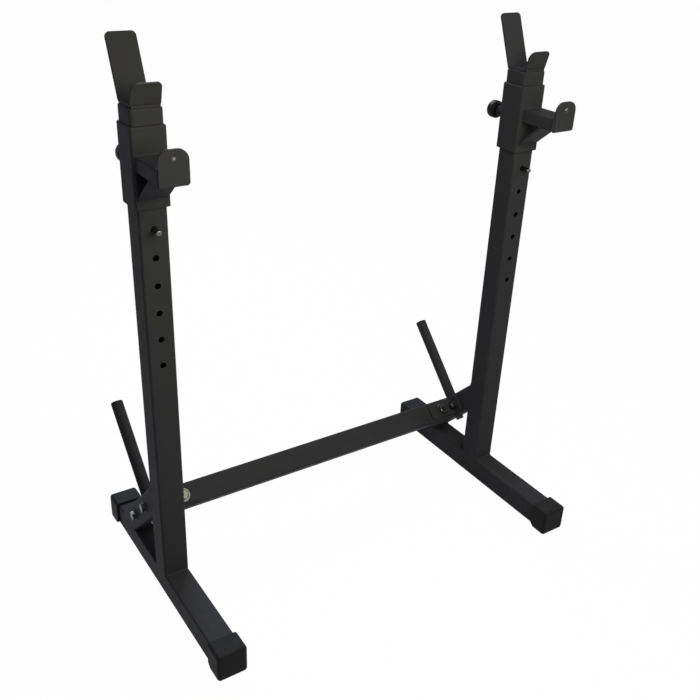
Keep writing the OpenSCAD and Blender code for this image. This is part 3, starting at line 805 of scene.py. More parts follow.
class STAND_OT_boots(bpy.types.Operator):
    """Moulded rubber boots on the ends of the feet"""
    bl_idname = "stand.boots"
    bl_label = "Rubber boots"

    def execute(self, context):
        size = sizes()
        for node, towards in (("toe_boot", 1), ("heel_boot", -1)):
            box = unit_box(node)
            closed_end = box.low.y if towards > 0 else box.high.y
            seat = move(y=closed_end) @ Matrix.Diagonal((1, towards, 1, 1))
            for side in SIDES:
                finish_piece(self.boot(size, box), f"{node}_{side}_rubber", f"{node}_{side}",
                             unit_frame(side) @ seat, finish="boot_rubber",
                             holes=self.slope(size, box), soften=0.0009, segments=3)
        return {"FINISHED"}

    def boot(self, size, box):
        """Closed end at Y = 0 with rounded edges, mouth towards +Y."""
        nose, inner_corner, least_corner = 0.006, 0.004, 0.001

        def ring(inset, y, corner):
            outline = rounded_rect(box.width - 2 * inset, box.height - 2 * inset, corner)
            return [(x, y, z + box.height / 2) for x, z in outline]

        rings = []
        for shortfall, rise in quarter(0, 0, nose, 0, steps=6):
            inset = nose - rise
            rings.append(ring(inset, nose - shortfall,
                              max(size.boot_corner - inset, least_corner)))
        rings.append(ring(0, box.depth, size.boot_corner))
        rings.append(ring(size.boot_wall, box.depth, inner_corner))
        rings.append(ring(size.boot_wall, size.boot_wall, inner_corner))
        return loft(rings)

    def slope(self, size, box):
        """Cutter that takes the slope off the lower rim."""
        over, below = 0.003, -0.005
        start, end = box.depth - size.boot_slope - over, box.depth + over
        profile = [(start, -over), (end, size.boot_slope + over), (end, below), (start, below)]
        return loft(across_x(profile, -box.width, box.width))


class STAND_OT_braces(bpy.types.Operator):
    """Rear braces, cut at 45 degrees and welded to the uprights and feet"""
    bl_idname = "stand.braces"
    bl_label = "Rear braces"

    def execute(self, context):
        size = sizes()
        upright = unit_box("upright_tube")
        half = upright.width / 2
        rear_face, foot_top = upright.high.y, upright.low.z

        def upper_end(z):
            return (rear_face - BEAM.y) * SQUARE_ROOT_2 - z

        def lower_end(z):
            return (BEAM.z - foot_top) * SQUARE_ROOT_2 + z

        def cut_ring(outline, end):
            return [(x, end(z), z) for x, z in outline]

        outer = rounded_rect(upright.width, upright.width, size.tube_corner)
        inside = upright.width - 2 * size.tube_wall
        inner = rounded_rect(inside, inside, size.tube_corner - size.tube_wall)
        reach = half - size.tube_corner + WELD_WRAP
        half_cut = (half - WELD_END) * SQUARE_ROOT_2
        for side in SIDES:
            place = brace_frame(side)
            mesh = loft([cut_ring(outer, upper_end), cut_ring(outer, lower_end),
                         cut_ring(inner, lower_end), cut_ring(inner, upper_end)], loop=True)
            holes = [drill(move(y=y) @ INWARDS, SMALL_BOLT["hole"], 4 * half)
                     for y in (-BASE_BOLT_Y, BASE_BOLT_Y)]
            holes += [drill(move(z=z), SMALL_BOLT["hole"], half) for z in (-half, half)]
            finish_side(mesh, side, "brace", "rear_brace", place, holes=joined(holes),
                        soften=size.tube_edge)
            welds = [bead_across(reach, end(z), z)
                     for end in (upper_end, lower_end) for z in (half, -half)]
            to_brace = place.inverted() @ unit_frame(side)
            for way in (-1, 1):
                on_foot = axes((way, 0, 0), (0, 0, 1),
                               (0, BEAM.y + BEAM.z - foot_top, foot_top))
                on_upright = axes((way, 0, 0), (0, 1, 0),
                                  (0, rear_face, BEAM.z + BEAM.y - rear_face))
                welds += [groove_weld(to_brace @ joint, half, half_cut)
                          for joint in (on_foot, on_upright)]
            finish_welds(welds, side, "brace_weld", place)
        return {"FINISHED"}


class STAND_OT_crossbeam(bpy.types.Operator):
    """Crossbeam, a square tube turned corner up"""
    bl_idname = "stand.crossbeam"
    bl_label = "Crossbeam"

    def execute(self, context):
        lowest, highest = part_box("crossbeam")
        width = unit_box("upright_tube").width
        mesh = square_tube(width, lowest.x, highest.x)
        bolt_x = UPRIGHT.x + BEAM_BOLT_X
        holes = joined(drill(move(z=x) @ TOWARDS_HEEL, LARGE_BOLT["hole"], 2 * width)
                       for x in (-bolt_x, bolt_x))
        place = move(0, UPRIGHT.y + BEAM.y, BEAM.z) @ turn(-45, "X") @ ALONG_BEAM
        finish_piece(mesh, "crossbeam_tube", "crossbeam", place, holes=holes,
                     soften=sizes().tube_edge)
        return {"FINISHED"}


class STAND_OT_brackets(bpy.types.Operator):
    """Brackets between braces and crossbeam: a base plate with two welded ears"""
    bl_idname = "stand.brackets"
    bl_label = "Beam brackets"

    def execute(self, context):
        size = sizes()
        base_x = -unit_box("upright_tube").width / 2 - BRACKET_PLATE
        base_width, base_length = 0.04, 0.116
        ear_width, ear_length, ear_low_corner = 0.036, 0.065, 0.0004
        drill_length = 0.03
        for side in SIDES:
            place = brace_frame(side)
            outline = rounded_rect(base_width, base_length, size.ear_corner)
            plates = [moved(prism(outline, 0, BRACKET_PLATE), move(base_x) @ ALONG_BEAM)]
            holes = []
            welds = []
            for way in (-1, 1):
                ear_y = way * (EAR_INSIDE + BRACKET_PLATE / 2)
                outline = plate_outline(ear_width, ear_length, size.ear_corner, ear_low_corner)
                plates.append(moved(prism(outline, -BRACKET_PLATE / 2, BRACKET_PLATE / 2),
                                    axes((0, 0, 1), (-1, 0, 0), (base_x, ear_y, 0))))
                holes.append(drill(move(base_x, way * BASE_BOLT_Y) @ INWARDS,
                                   SMALL_BOLT["hole"], drill_length))
                holes.append(drill(move(BEAM_BOLT_X, ear_y) @ DOWN_BRACE,
                                   LARGE_BOLT["hole"], drill_length))
                ends = [(base_x, way * EAR_OUTSIDE, z) for z in (-ear_width / 2, ear_width / 2)]
                welds.append(bead(ends, (1, 0, 0), radius=0.0022))
            finish_side(joined(plates), side, "bracket", "beam_bracket", place,
                        holes=joined(holes), soften=size.plate_edge)
            finish_welds(welds, side, "bracket_weld", place)
        return {"FINISHED"}


# Fasteners


def hex_face(flats):
    """Radius of the round face that the chamfer leaves on a hexagon."""
    return flats / 2 * FACE_SHARE


def hex_ring(flats, height, rise=0):
    """Ring around a hexagon. Its corners rise or fall by the slope of a 30 degree chamfer."""
    ring = []
    for step in range(HEX_STEPS):
        angle = math.tau * step / HEX_STEPS
        radius = flats / 2 / math.cos((angle % SIXTH_TURN) - SIXTH_TURN / 2)
        chamfer = (radius - hex_face(flats)) * CHAMFER_SLOPE
        ring.append((radius * math.cos(angle), radius * math.sin(angle), height + rise * chamfer))
    return ring


def hex_head(flats, height):
    """Forged head from its bearing face at 0 down to -height, dished and chamfered there."""
    edge, dish, rim = 0.0004, 0.86, 0.9
    face = hex_face(flats)
    return loft([
        circle(face * dish, -height + edge, HEX_STEPS),
        circle(face * rim, -height, HEX_STEPS),
        circle(face, -height, HEX_STEPS),
        hex_ring(flats, -height, rise=1),
        hex_ring(flats, -edge),
        circle(face, 0, HEX_STEPS),
    ])


def hex_nut(flats, height, bore):
    sink = 0.0006
    face = hex_face(flats)
    return loft([
        circle(bore + sink, 0, HEX_STEPS),
        circle(face, 0, HEX_STEPS),
        hex_ring(flats, 0, rise=1),
        hex_ring(flats, height, rise=-1),
        circle(face, height, HEX_STEPS),
        circle(bore + sink, height, HEX_STEPS),
        circle(bore, height - sink, HEX_STEPS),
        circle(bore, sink, HEX_STEPS),
    ], loop=True)


def washer(outside, bore, thickness):
    edge = 0.0003
    return revolve([
        (bore, edge), (bore + edge, 0), (outside - edge, 0), (outside, edge),
        (outside, thickness - edge), (outside - edge, thickness), (bore + edge, thickness),
        (bore, thickness - edge),
    ], loop=True)


def threaded_rod(radius, start, thread_start, end, pitch):
    """Rod with a plain part, then a helical thread, then a chamfered end."""
    least_rows = 4
    depth = THREAD_DEPTH * pitch
    rings = [circle(radius, height, THREAD_STEPS) for height in (start, thread_start - pitch / 2)]
    rows = max(least_rows, round((end - thread_start) / pitch * THREAD_ROWS_PER_TURN))
    for row in range(rows + 1):
        height = thread_start + (end - thread_start) * row / rows
        ease = min(1.0, 2.0 * row / THREAD_ROWS_PER_TURN)
        taper = max(0.0, (height - (end - pitch)) / pitch)
        ring = []
        for step in range(THREAD_STEPS):
            angle = math.tau * step / THREAD_STEPS
            phase = (height / pitch - step / THREAD_STEPS) % 1.0
            groove = depth * abs(2 * phase - 1) * ease
            reach = min(radius - groove, radius - depth * taper)
            ring.append((reach * math.cos(angle), reach * math.sin(angle), height))
        rings.append(ring)
    return loft(rings)


class STAND_OT_fasteners(bpy.types.Operator):
    """Black bolts, washers and nuts of the brackets, the crossbeam and the pegs"""
    bl_idname = "stand.fasteners"
    bl_label = "Fasteners"

    def execute(self, context):
        width = unit_box("upright_tube").width
        outer_face = [brace_frame(side) @ move(width / 2, y) @ INWARDS
                      for side in SIDES for y in (-BASE_BOLT_Y, BASE_BOLT_Y)]
        upper_ear = [brace_frame(side) @ move(BEAM_BOLT_X, -EAR_OUTSIDE) @ DOWN_BRACE
                     for side in SIDES]
        under_brace = [brace_frame(side) @ move(z=-width / 2) for side in SIDES]
        self.bolt_set("bracket", outer_face, SMALL_BOLT, width + BRACKET_PLATE)
        self.bolt_set("beam", upper_ear, LARGE_BOLT, 2 * EAR_OUTSIDE)
        self.bolt_set("peg", under_brace, SMALL_BOLT, width, into_peg=0.027)
        return {"FINISHED"}

    def bolt_set(self, name, places, bolt, grip, into_peg=0.0):
        """One piece each for the bolts, washers and nuts of a set. Bolts in a peg have no nut."""
        thickness, rod = bolt["washer_thickness"], bolt["rod"]
        sunk, washer_gap, nut_bite, past_nut, peg_thread = 0.0005, 0.0004, 0.0002, 0.003, 0.024
        first_turn, next_turn = 17, 23
        thread_start = grip + thickness
        end = thread_start + thickness + bolt["nut"] + past_nut
        if into_peg:
            end = thread_start + into_peg
            thread_start = end - peg_thread
        pieces = {"bolts": [], "washers": [], "nuts": []}
        for index, place in enumerate(places):
            spin = turn(first_turn + next_turn * index, "Z")
            head = hex_head(bolt["flats"], bolt["head"])
            shank = threaded_rod(rod, -sunk, thread_start, end, bolt["pitch"])
            under_head = place @ move(z=-thickness)
            pieces["bolts"].append(moved(joined([head, shank]), under_head @ spin))
            for seat in [under_head] if into_peg else [under_head, place @ move(z=grip)]:
                pieces["washers"].append(
                    moved(washer(bolt["washer"], rod + washer_gap, thickness), seat))
            if not into_peg:
                nut = hex_nut(bolt["flats"], bolt["nut"], rod - nut_bite)
                pieces["nuts"].append(moved(nut, place @ move(z=grip + thickness) @ spin))
        for kind, meshes in pieces.items():
            if meshes:
                finish_piece(joined(meshes), f"{name}_{kind}_set", f"{name}_{kind}",
                             finish="black_zinc")


class STAND_OT_pegs(bpy.types.Operator):
    """Plate pegs with plugged ends, which lean back from the braces"""
    bl_idname = "stand.pegs"
    bl_label = "Plate pegs"

    def execute(self, context):
        radius, wall, edge, peg_length = 0.0125, 0.0025, 0.0006, 0.205
        start = unit_box("upright_tube").width / 2
        end = start + peg_length
        gap, stem_length, stem_edge = 0.0001, 0.014, 0.001
        stem = radius - wall - gap
        head, head_edge, rim, crown = 0.003, 0.002, 0.0002, 0.45
        for side in SIDES:
            peg = revolve([
                (radius - wall, start), (radius - edge, start), (radius, start + edge),
                (radius, end - edge), (radius - edge, end), (radius - wall, end)], loop=True)
            finish_side(peg, side, "peg", "plate_peg", brace_frame(side))
            plug = revolve([
                (stem - stem_edge, end - stem_length - stem_edge), (stem, end - stem_length),
                (stem, end), (radius - rim, end), (radius, end + 2 * rim),
                *quarter(radius - head_edge, end + head - head_edge - rim, head_edge, 0),
                (radius * crown, end + head)])
            finish_side(plug, side, "peg_plug", "peg_cap", brace_frame(side),
                        finish="black_plastic")
        return {"FINISHED"}


# Cradle on top of each upright


class STAND_OT_cradles(bpy.types.Operator):
    """Bar cradles: a closed sleeve on the upright and a bent saddle plate"""
    bl_idname = "stand.cradles"
    bl_label = "Bar cradles"

    def execute(self, context):
        size = sizes()
        for side in SIDES:
            place = unit_frame(side)
            finish_side(self.cap(size), side, "cradle_sleeve", "cradle_cap", place, soften=0.0004)
            finish_side(self.saddle(size, side), side, "saddle", "cradle_saddle", place,
                        soften=0.0011, segments=3)
            finish_welds(self.welds(), side, "saddle_weld", place)
        return {"FINISHED"}

    def cap(self, size):
        """Sleeve around the upright's end, closed on top."""
        box = unit_box("cradle_cap")
        upright = unit_box("upright_tube")
        gap = 0.00025
        wall = box.width / 2 - upright.high.x - gap
        inner = rounded_rect(box.width - 2 * wall, box.width - 2 * wall, size.tube_corner)
        return loft([at_height(inner, upright.high.z), at_height(inner, box.low.z)]
                    + rounded_top(box.width, size.tube_corner + wall, box.low.z, box.high.z,
                                  size.sleeve_round))

    def welds(self):
        """Beads beside the saddle's flat base, and thicker ones under its bends."""
        top = unit_box("cradle_cap").high.z
        half = unit_box("cradle_saddle").width / 2
        side_from, side_to = -0.013, 0.017
        bend_in, bend_up, bend_short = 0.0004, 0.0017, 0.0015
        beads = [bead([(x, side_from, top), (x, side_to, top)], (0, 0, 1), radius=0.0018)
                 for x in (-half, half)]
        return beads + [bead_across(half - bend_short, y, top + bend_up, radius=0.0026)
                        for y in (SADDLE_FRONT + bend_in, SADDLE_REAR - bend_in)]

    def saddle(self, size, side):
        """Strap bent from front lip through the flat base to the tall rear plate."""
        box = unit_box("cradle_saddle")
        half = box.width / 2
        outer = size.saddle_bend + size.saddle_plate
        middle_radius = size.saddle_bend + size.saddle_plate / 2
        centre_z = box.low.z + outer

        def tangent(lean):
            """Length that a bend takes from each of the straight parts beside it."""
            return outer * math.tan(math.radians(90 - lean) / 2)

        def rounded_side(corner, back):
            """Half width of a rounded end at a distance back from its edge."""
            missing = max(corner - back, 0.0)
            return half - corner + math.sqrt(max(corner ** 2 - missing ** 2, 0.0))

        def straight(foot, lean, reach, left, right):
            """Stations from the free end down to the bend, with the end's corners rounded."""
            upwards = Vector((math.sin(math.radians(lean)), math.cos(math.radians(lean))))
            stations = []
            for step in range(SADDLE_END_STEPS + 1):
                turned = math.radians(90 * step / SADDLE_END_STEPS)
                back = max(left, right) * (1 - math.cos(turned))
                stations.append((foot + upwards * (reach - back), upwards,
                                 rounded_side(left, back), rounded_side(right, back)))
            return stations

        def bend(centre_y, start, end):
            stations = []
            for step in range(SADDLE_BEND_STEPS + 1):
                angle = math.radians(start + (end - start) * step / SADDLE_BEND_STEPS)
                spot = Vector((centre_y + middle_radius * math.cos(angle),
                               centre_z + middle_radius * math.sin(angle)))
                stations.append((spot, Vector((-math.sin(angle), math.cos(angle))), half, half))
            return stations

        front_bend = bend(SADDLE_FRONT + tangent(LIP_LEAN), 180 + LIP_LEAN, 270)
        rear_bend = bend(SADDLE_REAR - tangent(GUIDE_LEAN), 270, 360 - GUIDE_LEAN)
        lip_corners = (size.lip_wide_corner, size.lip_corner)[::int(SIDES[side])]
        lip = straight(front_bend[0][0], -LIP_LEAN, LIP_LENGTH - tangent(LIP_LEAN), *lip_corners)
        guide = straight(rear_bend[-1][0], GUIDE_LEAN, GUIDE_LENGTH - tangent(GUIDE_LEAN),
                         size.guide_corner, size.guide_corner)
        stations = [(spot, -direction, left, right) for spot, direction, left, right in lip]
        return self.strap(stations + front_bend + rear_bend + guide[::-1], size.saddle_plate)

    def strap(self, stations, plate):
        """Skin over the stations. The flat faces of the rounded ends are one face each."""
        mesh = bmesh.new()
        rings = []
        for spot, direction, left, right in stations:
            across = Vector((-direction.y, direction.x)) * plate / 2
            low, top = spot - across, spot + across
            rings.append([mesh.verts.new(point) for point in (
                (right, low.x, low.y), (right, top.x, top.y),
                (-left, top.x, top.y), (-left, low.x, low.y))])
        for ring in (rings[0], rings[-1]):
            mesh.faces.new(ring)

        def band(rings, a, b):
            for first, second in zip(rings, rings[1:]):
                mesh.faces.new((first[a], first[b], second[b], second[a]))

        for a, b in ((0, 1), (2, 3)):
            band(rings, a, b)
        for a, b in ((1, 2), (3, 0)):
            band(rings[SADDLE_END_STEPS:-SADDLE_END_STEPS], a, b)
            for end in (rings[:SADDLE_END_STEPS + 1], rings[-SADDLE_END_STEPS - 1:]):
                mesh.faces.new([ring[a] for ring in end] + [ring[b] for ring in reversed(end)])
        return mesh


# Sliding collar and its hook


class STAND_OT_collars(bpy.types.Operator):
    """Hook collars that slide on the uprights"""
    bl_idname = "stand.collars"
    bl_label = "Hook collars"

    def execute(self, context):
        size = sizes()
        box = unit_box("hook_collar")
        wall, corner, bore = 0.0045, 0.005, 0.0051
        inner = rounded_rect(box.width - 2 * wall, box.width - 2 * wall, size.tube_corner)
        pin_height = unit_box("pull_pin_housing").middle.z
        pin_place = move(0, box.width / 2, pin_height) @ TOWARDS_HEEL
        for side in SIDES:
            mesh = loft(rounded_top(box.width, corner, box.low.z, box.high.z, size.sleeve_round)
                        + [at_height(inner, box.high.z), at_height(inner, box.low.z)], loop=True)
            finish_side(mesh, side, "collar", "hook_collar", unit_frame(side),
                        body=f"carriage_{side}", holes=drill(pin_place, bore, box.width / 2),
                        soften=0.0006)
        return {"FINISHED"}


class STAND_OT_hooks(bpy.types.Operator):
    """Hooks: a flat tube with a sloping strut, a round-topped end plate and its screw"""
    bl_idname = "stand.hooks"
    bl_label = "Hooks"

    def execute(self, context):
        for side in SIDES:
            for build in (self.arm, self.strut, self.end_plate, self.screw, self.welds):
                build(side, unit_frame(side), f"carriage_{side}")
        return {"FINISHED"}

    def arm(self, side, place, body):
        box = unit_box("hook_arm")
        wall = 0.0025
        mesh = tube(box.width, box.height, HOOK_ARM_CORNER, wall, box.low.y, box.high.y)
        finish_side(mesh, side, "arm", "hook_arm",
                    place @ move(z=box.middle.z) @ TOWARDS_HEEL, body=body, soften=0.0004)

    def strut(self, side, place, body):
        box = unit_box("hook_strut")
        plate = 0.005
        slope = math.atan2(box.height, box.depth)
        profile = [(box.low.y, box.high.z), (box.low.y + plate / math.sin(slope), box.high.z),
                   (box.high.y, box.low.z + plate / math.cos(slope)), (box.high.y, box.low.z)]
        finish_side(loft(across_x(profile, box.low.x, box.high.x)), side, "strut", "hook_strut",
                    place, body=body, soften=0.0006)

    def end_plate(self, side, place, body):
        size = sizes()
        box = unit_box("hook_end_plate")
        screw_hole = 0.0031
        screw_up = unit_box("hook_screw").middle.z - box.low.z
        outline = plate_outline(box.width, box.height, size.hook_top_corner,
                                size.hook_low_corner, steps=12)
        holes = drill(move(0, screw_up, box.depth / 2), screw_hole, 3 * box.depth)
        finish_side(prism(outline, 0, box.depth), side, "end_plate", "hook_end_plate",
                    place @ move(0, box.high.y, box.low.z) @ PLATE_FACING_TOES, body=body,
                    holes=holes, soften=size.plate_edge, segments=3)

    def screw(self, side, place, body):
        """Screw with a domed head that stands proud of the end plate's face."""
        plate = unit_box("hook_end_plate")
        face = plate.depth
        radius, height, under, rim, dome_steps = 0.005, 0.0026, 0.0002, 0.0003, 8
        shank, shank_edge = 0.003, 0.0004
        dome = (radius ** 2 + height ** 2) / (2 * height)
        profile = [(shank - shank_edge, 0.0), (shank, shank_edge), (shank, face),
                   (radius - under, face), (radius, face + rim)]
        for step in range(1, dome_steps):
            reach = radius * (1 - step / dome_steps)
            profile.append((reach, face + height - dome + math.sqrt(dome ** 2 - reach ** 2)))
        seat = move(0, plate.high.y, unit_box("hook_screw").middle.z) @ PLATE_FACING_TOES
        finish_side(revolve(profile), side, "screw", "hook_screw", place @ seat, body=body,
                    finish="black_zinc")

    def welds(self, side, place, body):
        """Beads around both ends of the arm, and above and below the strut's upper end."""
        arm = unit_box("hook_arm")
        strut = unit_box("hook_strut")
        radius, strut_end = 0.0021, 0.0058
        around = rounded_rect(arm.width, arm.height, HOOK_ARM_CORNER)
        beads = [bead([(x, y, z + arm.middle.z) for x, z in around], (0, 1, 0), closed=True,
                      radius=radius) for y in (arm.low.y, arm.high.y)]
        beads += [bead_across(arm.width / 2, strut.high.y, z, (0, 1, 0), radius)
                  for z in (strut.low.z, strut.low.z + strut_end)]
        finish_welds(beads, side, "hook_weld", place, body)


# Pull pin behind the collar, and the stop pin below it


class STAND_OT_pull_pins(bpy.types.Operator):
    """Sprung pull pins with their housings and round knobs"""
    bl_idname = "stand.pull_pins"
    bl_label = "Pull pins"

    def execute(self, context):
        centre_z = unit_box("pull_pin_housing").middle.z
        for side in SIDES:
            place = lying_frame(side, centre_z)
            for build in (self.housing, self.pin, self.spring, self.knob):
                build(side, place)
        return {"FINISHED"}

    def housing(self, side, place):
        """Turned sleeve with a groove near its closed end, welded to the collar."""
        box = unit_box("pull_pin_housing")
        start, end = box.low.y, box.high.y
        radius, wall, bore, edge = 0.011, 0.0032, 0.0041, 0.0008
        groove_to_end, weld_up = 0.009, 0.0004
        groove = end - groove_to_end
        rim = 1.5 * edge
        mesh = revolve([
            (radius - wall, start), (radius, start), (radius, groove),
            (radius - edge, groove + edge), (radius - edge, groove + 2 * edge),
            (radius, groove + 3 * edge), (radius, end - rim), (radius - rim, end),
            (bore + edge / 2, end), (bore, end - edge / 2), (bore, end - wall),
            (radius - wall, end - wall)], loop=True)
        body = f"carriage_{side}"
        finish_side(mesh, side, "pin_housing", "pull_pin_housing", place, body=body)
        weld = bead(circle(radius, start + weld_up), (0, 0, 1), closed=True, radius=0.0022)
        finish_welds([weld], side, "housing_weld", place, body)

    def pin(self, side, place):
        """Pin with a tapered nose, a flange for the spring and a thinner rod."""
        box = unit_box("pull_pin")
        start, end = box.low.y, box.high.y
        nose, flange, rod = 0.005, box.width / 2, 0.004
        nose_taper = ((0.0022, 0), (0.0014, 0.0002), (0, 0.0015))
        flange_start, flange_end, edge, rod_edge = 0.0385, 0.0415, 0.0003, 0.0006
        mesh = revolve([
            *((nose - inset, start + rise) for inset, rise in nose_taper),
            (nose, flange_start), (flange - edge, flange_start), (flange, flange_start + edge),
            (flange, flange_end - edge), (flange - edge, flange_end), (rod, flange_end),
            (rod, end - rod_edge), (rod - rod_edge, end)])
        finish_side(mesh, side, "pin", "pull_pin", place, body=f"puller_{side}",
                    finish="bare_steel")

    def spring(self, side, place):
        """Coil of wire around the pin, the length of the spring's node."""
        box = unit_box("pull_pin_spring")
        wire, radius, turns, steps_per_turn = 0.0005, 0.006, 6, 22
        start, end = box.low.y + wire, box.high.y - wire
        steps = turns * steps_per_turn
        path = []
        for step in range(steps + 1):
            angle = math.tau * step / steps_per_turn
            path.append(Vector((radius * math.cos(angle), radius * math.sin(angle),
                                start + (end - start) * step / steps)))
        mesh = sweep(path, Vector((0, 0, 1)), lambda along: wire, sides=6)
        coil = finish_side(mesh, side, "spring", "pull_pin_spring", place,
                           body=f"carriage_{side}", finish="bare_steel")
        anchor = Vector(place.translation)
        anchor.y = UPRIGHT.y + box.high.y
        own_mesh(coil)

    def knob(self, side, place):
        """Round knob with a skirt that reaches over the housing's end."""
        box = unit_box("pull_knob")
        radius = box.width / 2
        front, back = box.low.y, box.high.y
        edge = sizes().knob_edge
        bore, bore_length = 0.0041, 0.016
        skirt, skirt_depth, skirt_edge, crown = 0.0115, 0.0063, 0.0005, 0.3
        mesh = revolve([
            (bore, back - bore_length), (bore, front + skirt_depth), (skirt, front + skirt_depth),
            (skirt, front + skirt_edge), (skirt + skirt_edge, front),
            *quarter(radius - edge, front + edge, edge, -90, steps=7),
            *quarter(radius - edge, back - edge, edge, 0, steps=7), (radius * crown, back)])
        finish_side(mesh, side, "knob", "pull_knob", place, body=f"puller_{side}",
                    finish="black_plastic")


class STAND_OT_stop_pins(bpy.types.Operator):
    """Stop pins through the uprights, with clip holes across their tips"""
    bl_idname = "stand.stop_pins"
    bl_label = "Stop pins"

    def execute(self, context):
        box = unit_box("stop_pin")
        start, end = box.low.y, box.high.y
        head, head_length, head_edge, crown = box.width / 2, 0.006, 0.0012, 0.4
        radius, tip_round = 0.0048, 0.002
        clip_radius, clip_from_tip = 0.0015, 0.005
        under_head = end - head_length
        for side in SIDES:
            mesh = revolve([
                *quarter(radius - tip_round, start + tip_round, tip_round, -90),
                (radius, under_head), (head - head_edge / 2, under_head),
                (head, under_head + head_edge / 2),
                *quarter(head - head_edge, end - head_edge, head_edge, 0), (head * crown, end)])
            holes = drill(move(z=start + clip_from_tip) @ ALONG_BEAM, clip_radius, 3 * radius)
            finish_side(mesh, side, "stop", "stop_pin",
                        lying_frame(side, box.middle.z), body=f"stop_{side}",
                        finish="pin_steel", holes=holes)
        return {"FINISHED"}


# Finishes and stage


class STAND_OT_finishes(bpy.types.Operator):
    """Shader groups and the finishes made from them"""
    bl_idname = "stand.finishes"
    bl_label = "Finishes"

    def execute(self, context):
        settings = context.scene.stand_finishes
        for build in GROUP_BUILDERS:
            build()
        black_paint(settings)
        moulded_finish(settings, "boot_rubber", settings.rubber_colour,
                       roughness=0.62, grain=1100.0, depth=0.00007)
        moulded_finish(settings, "black_plastic", settings.plastic_colour,
                       roughness=0.42, grain=2000.0, depth=0.00003)
        metal_finish(settings, "black_zinc", settings.zinc_colour, settings.zinc_tint,
                     roughness=0.34, smudge=0.2, scratch=0.12)
        metal_finish(settings, "pin_steel", settings.pin_colour, settings.pin_tint,
                     roughness=0.2, smudge=0.12, scratch=0.1)
        metal_finish(settings, "bare_steel", settings.steel_colour, settings.steel_tint,
                     roughness=0.38, smudge=0.2, scratch=0.15)
        for part in frame["record"]["subparts"]:
            materials = frame["nodes"][part["node"]].data.materials
            materials.clear()
            materials.append(bpy.data.materials[part["material_slot"]])
        return {"FINISHED"}


def show_white(tree, plain, white_kind, amount, output_kind):
    """Blends a shader with plain white for rays of the camera, of gloss and through glass."""
    rays = tree.nodes.new("ShaderNodeLightPath").outputs
    seen = maths(tree, "ADD", rays["Is Camera Ray"], rays["Is Glossy Ray"])
    seen = maths(tree, "ADD", seen, rays["Is Transmission Ray"], clamp=True)
    white = add_node(tree, white_kind, {"Color": WHITE, "Strength": 1.0})
    mix = add_node(tree, "ShaderNodeMixShader",
                   {"Fac": maths(tree, "MULTIPLY", seen, amount), 1: plain.outputs[0],
                    2: white.outputs[0]})
    add_node(tree, output_kind, {"Surface": mix.outputs[0]})


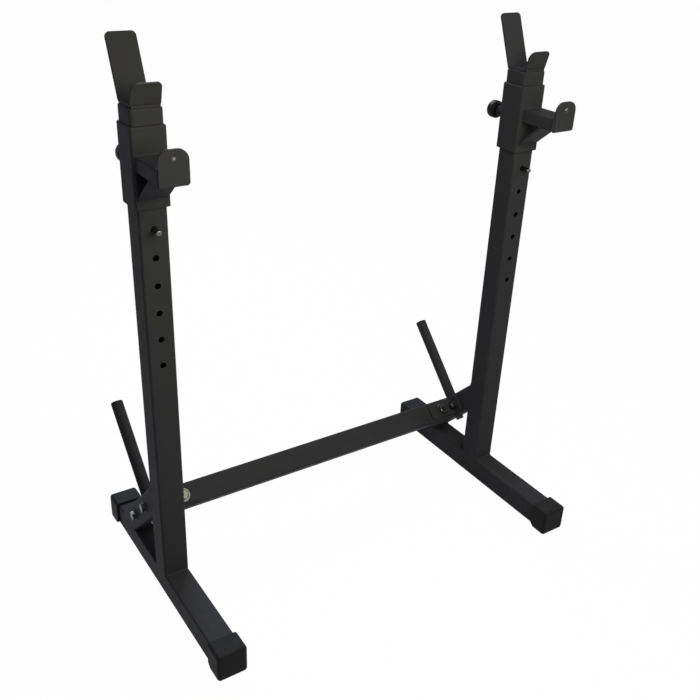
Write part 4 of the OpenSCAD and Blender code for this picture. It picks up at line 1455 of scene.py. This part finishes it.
class STAND_OT_stage(bpy.types.Operator):
    """Pale floor, soft lamps, world and the camera"""
    bl_idname = "stand.stage"
    bl_label = "Stage"

    def execute(self, context):
        stage = context.scene.stand_stage
        self.floor(stage)
        self.world(stage)
        for name, (place, width) in LAMPS.items():
            self.lamp(name, place, width, getattr(stage, name + "_energy"),
                      getattr(stage, name + "_colour"))
        self.camera(stage)
        context.scene.view_settings.view_transform = "Standard"
        return {"FINISHED"}

    def floor(self, stage):
        mesh = bmesh.new()
        bmesh.ops.create_circle(mesh, cap_ends=True, segments=96, radius=60.0)
        data = bpy.data.meshes.new("floor")
        mesh.to_mesh(data)
        mesh.free()
        thing = bpy.data.objects.new("floor", data)
        bpy.context.scene.collection.objects.link(thing)
        material = bpy.data.materials.new("floor")
        material.use_nodes = True
        tree = material.node_tree
        tree.nodes.clear()
        diffuse = add_node(tree, "ShaderNodeBsdfDiffuse", {"Color": (*stage.floor_colour, 1.0)})
        show_white(tree, diffuse, "ShaderNodeEmission", stage.floor_whiteness,
                   "ShaderNodeOutputMaterial")
        data.materials.append(material)

    def world(self, stage):
        world = bpy.data.worlds.new("studio")
        world.use_nodes = True
        tree = world.node_tree
        tree.nodes.clear()
        soft = add_node(tree, "ShaderNodeBackground",
                        {"Color": (*stage.world_colour, 1.0), "Strength": stage.world_strength})
        show_white(tree, soft, "ShaderNodeBackground", 1.0, "ShaderNodeOutputWorld")
        bpy.context.scene.world = world

    def lamp(self, name, place, width, energy, colour):
        light = bpy.data.lights.new(name, "AREA")
        light.shape = "SQUARE"
        light.size = width
        light.energy = energy
        light.color = colour
        thing = bpy.data.objects.new(name, light)
        thing.location = place
        thing.visible_camera = False
        aim = LAMP_TARGET - Vector(place)
        thing.rotation_euler = aim.to_track_quat("-Z", "Y").to_euler()
        bpy.context.scene.collection.objects.link(thing)

    def camera(self, stage):
        """Camera at the photograph's viewing angle. Its angles are in radians."""
        eye = Vector((-0.88497, -1.30874, 1.27873))
        yaw, pitch, roll = 0.6004, -0.4874, 0.0462
        forward = Vector((math.sin(yaw) * math.cos(pitch), math.cos(yaw) * math.cos(pitch),
                          math.sin(pitch)))
        right = forward.cross(Vector((0, 0, 1))).normalized()
        up = right.cross(forward)
        tilted_right = math.cos(roll) * right + math.sin(roll) * up
        tilted_up = math.cos(roll) * up - math.sin(roll) * right
        rows = Matrix((tilted_right, tilted_up, -forward)).transposed().to_4x4()
        data = bpy.data.cameras.new("camera")
        data.sensor_width = 36.0
        data.lens = stage.focal_length
        thing = bpy.data.objects.new("camera", data)
        thing.matrix_world = Matrix.Translation(eye) @ rows
        bpy.context.scene.collection.objects.link(thing)
        bpy.context.scene.camera = thing


OPERATORS = (STAND_OT_finishes, STAND_OT_feet, STAND_OT_boots, STAND_OT_uprights,
             STAND_OT_braces, STAND_OT_crossbeam, STAND_OT_brackets, STAND_OT_fasteners,
             STAND_OT_pegs, STAND_OT_cradles, STAND_OT_collars, STAND_OT_hooks,
             STAND_OT_pull_pins, STAND_OT_stop_pins, STAND_OT_stage)
SETTINGS = {"stand_sizes": STAND_sizes, "stand_finishes": STAND_finishes,
            "stand_stage": STAND_stage}


class STAND_PT_panel(bpy.types.Panel):
    """Lists the stand's builders"""
    bl_idname = "STAND_PT_panel"
    bl_label = "Squat stand"
    bl_space_type = "VIEW_3D"
    bl_region_type = "UI"
    bl_category = "Squat stand"

    def draw(self, context):
        for operator in OPERATORS:
            self.layout.operator(operator.bl_idname)


def register():
    for name, settings in SETTINGS.items():
        bpy.utils.register_class(settings)
        setattr(bpy.types.Scene, name, bpy.props.PointerProperty(type=settings))
    for operator in OPERATORS:
        bpy.utils.register_class(operator)
    bpy.utils.register_class(STAND_PT_panel)


def unregister():
    bpy.utils.unregister_class(STAND_PT_panel)
    for operator in reversed(OPERATORS):
        bpy.utils.unregister_class(operator)
    for name, settings in SETTINGS.items():
        delattr(bpy.types.Scene, name)
        bpy.utils.unregister_class(settings)


def main():
    register()
    for operator in OPERATORS:
        family, action = operator.bl_idname.split(".")
        getattr(getattr(bpy.ops, family), action)()


if __name__ == "__main__":
    main()
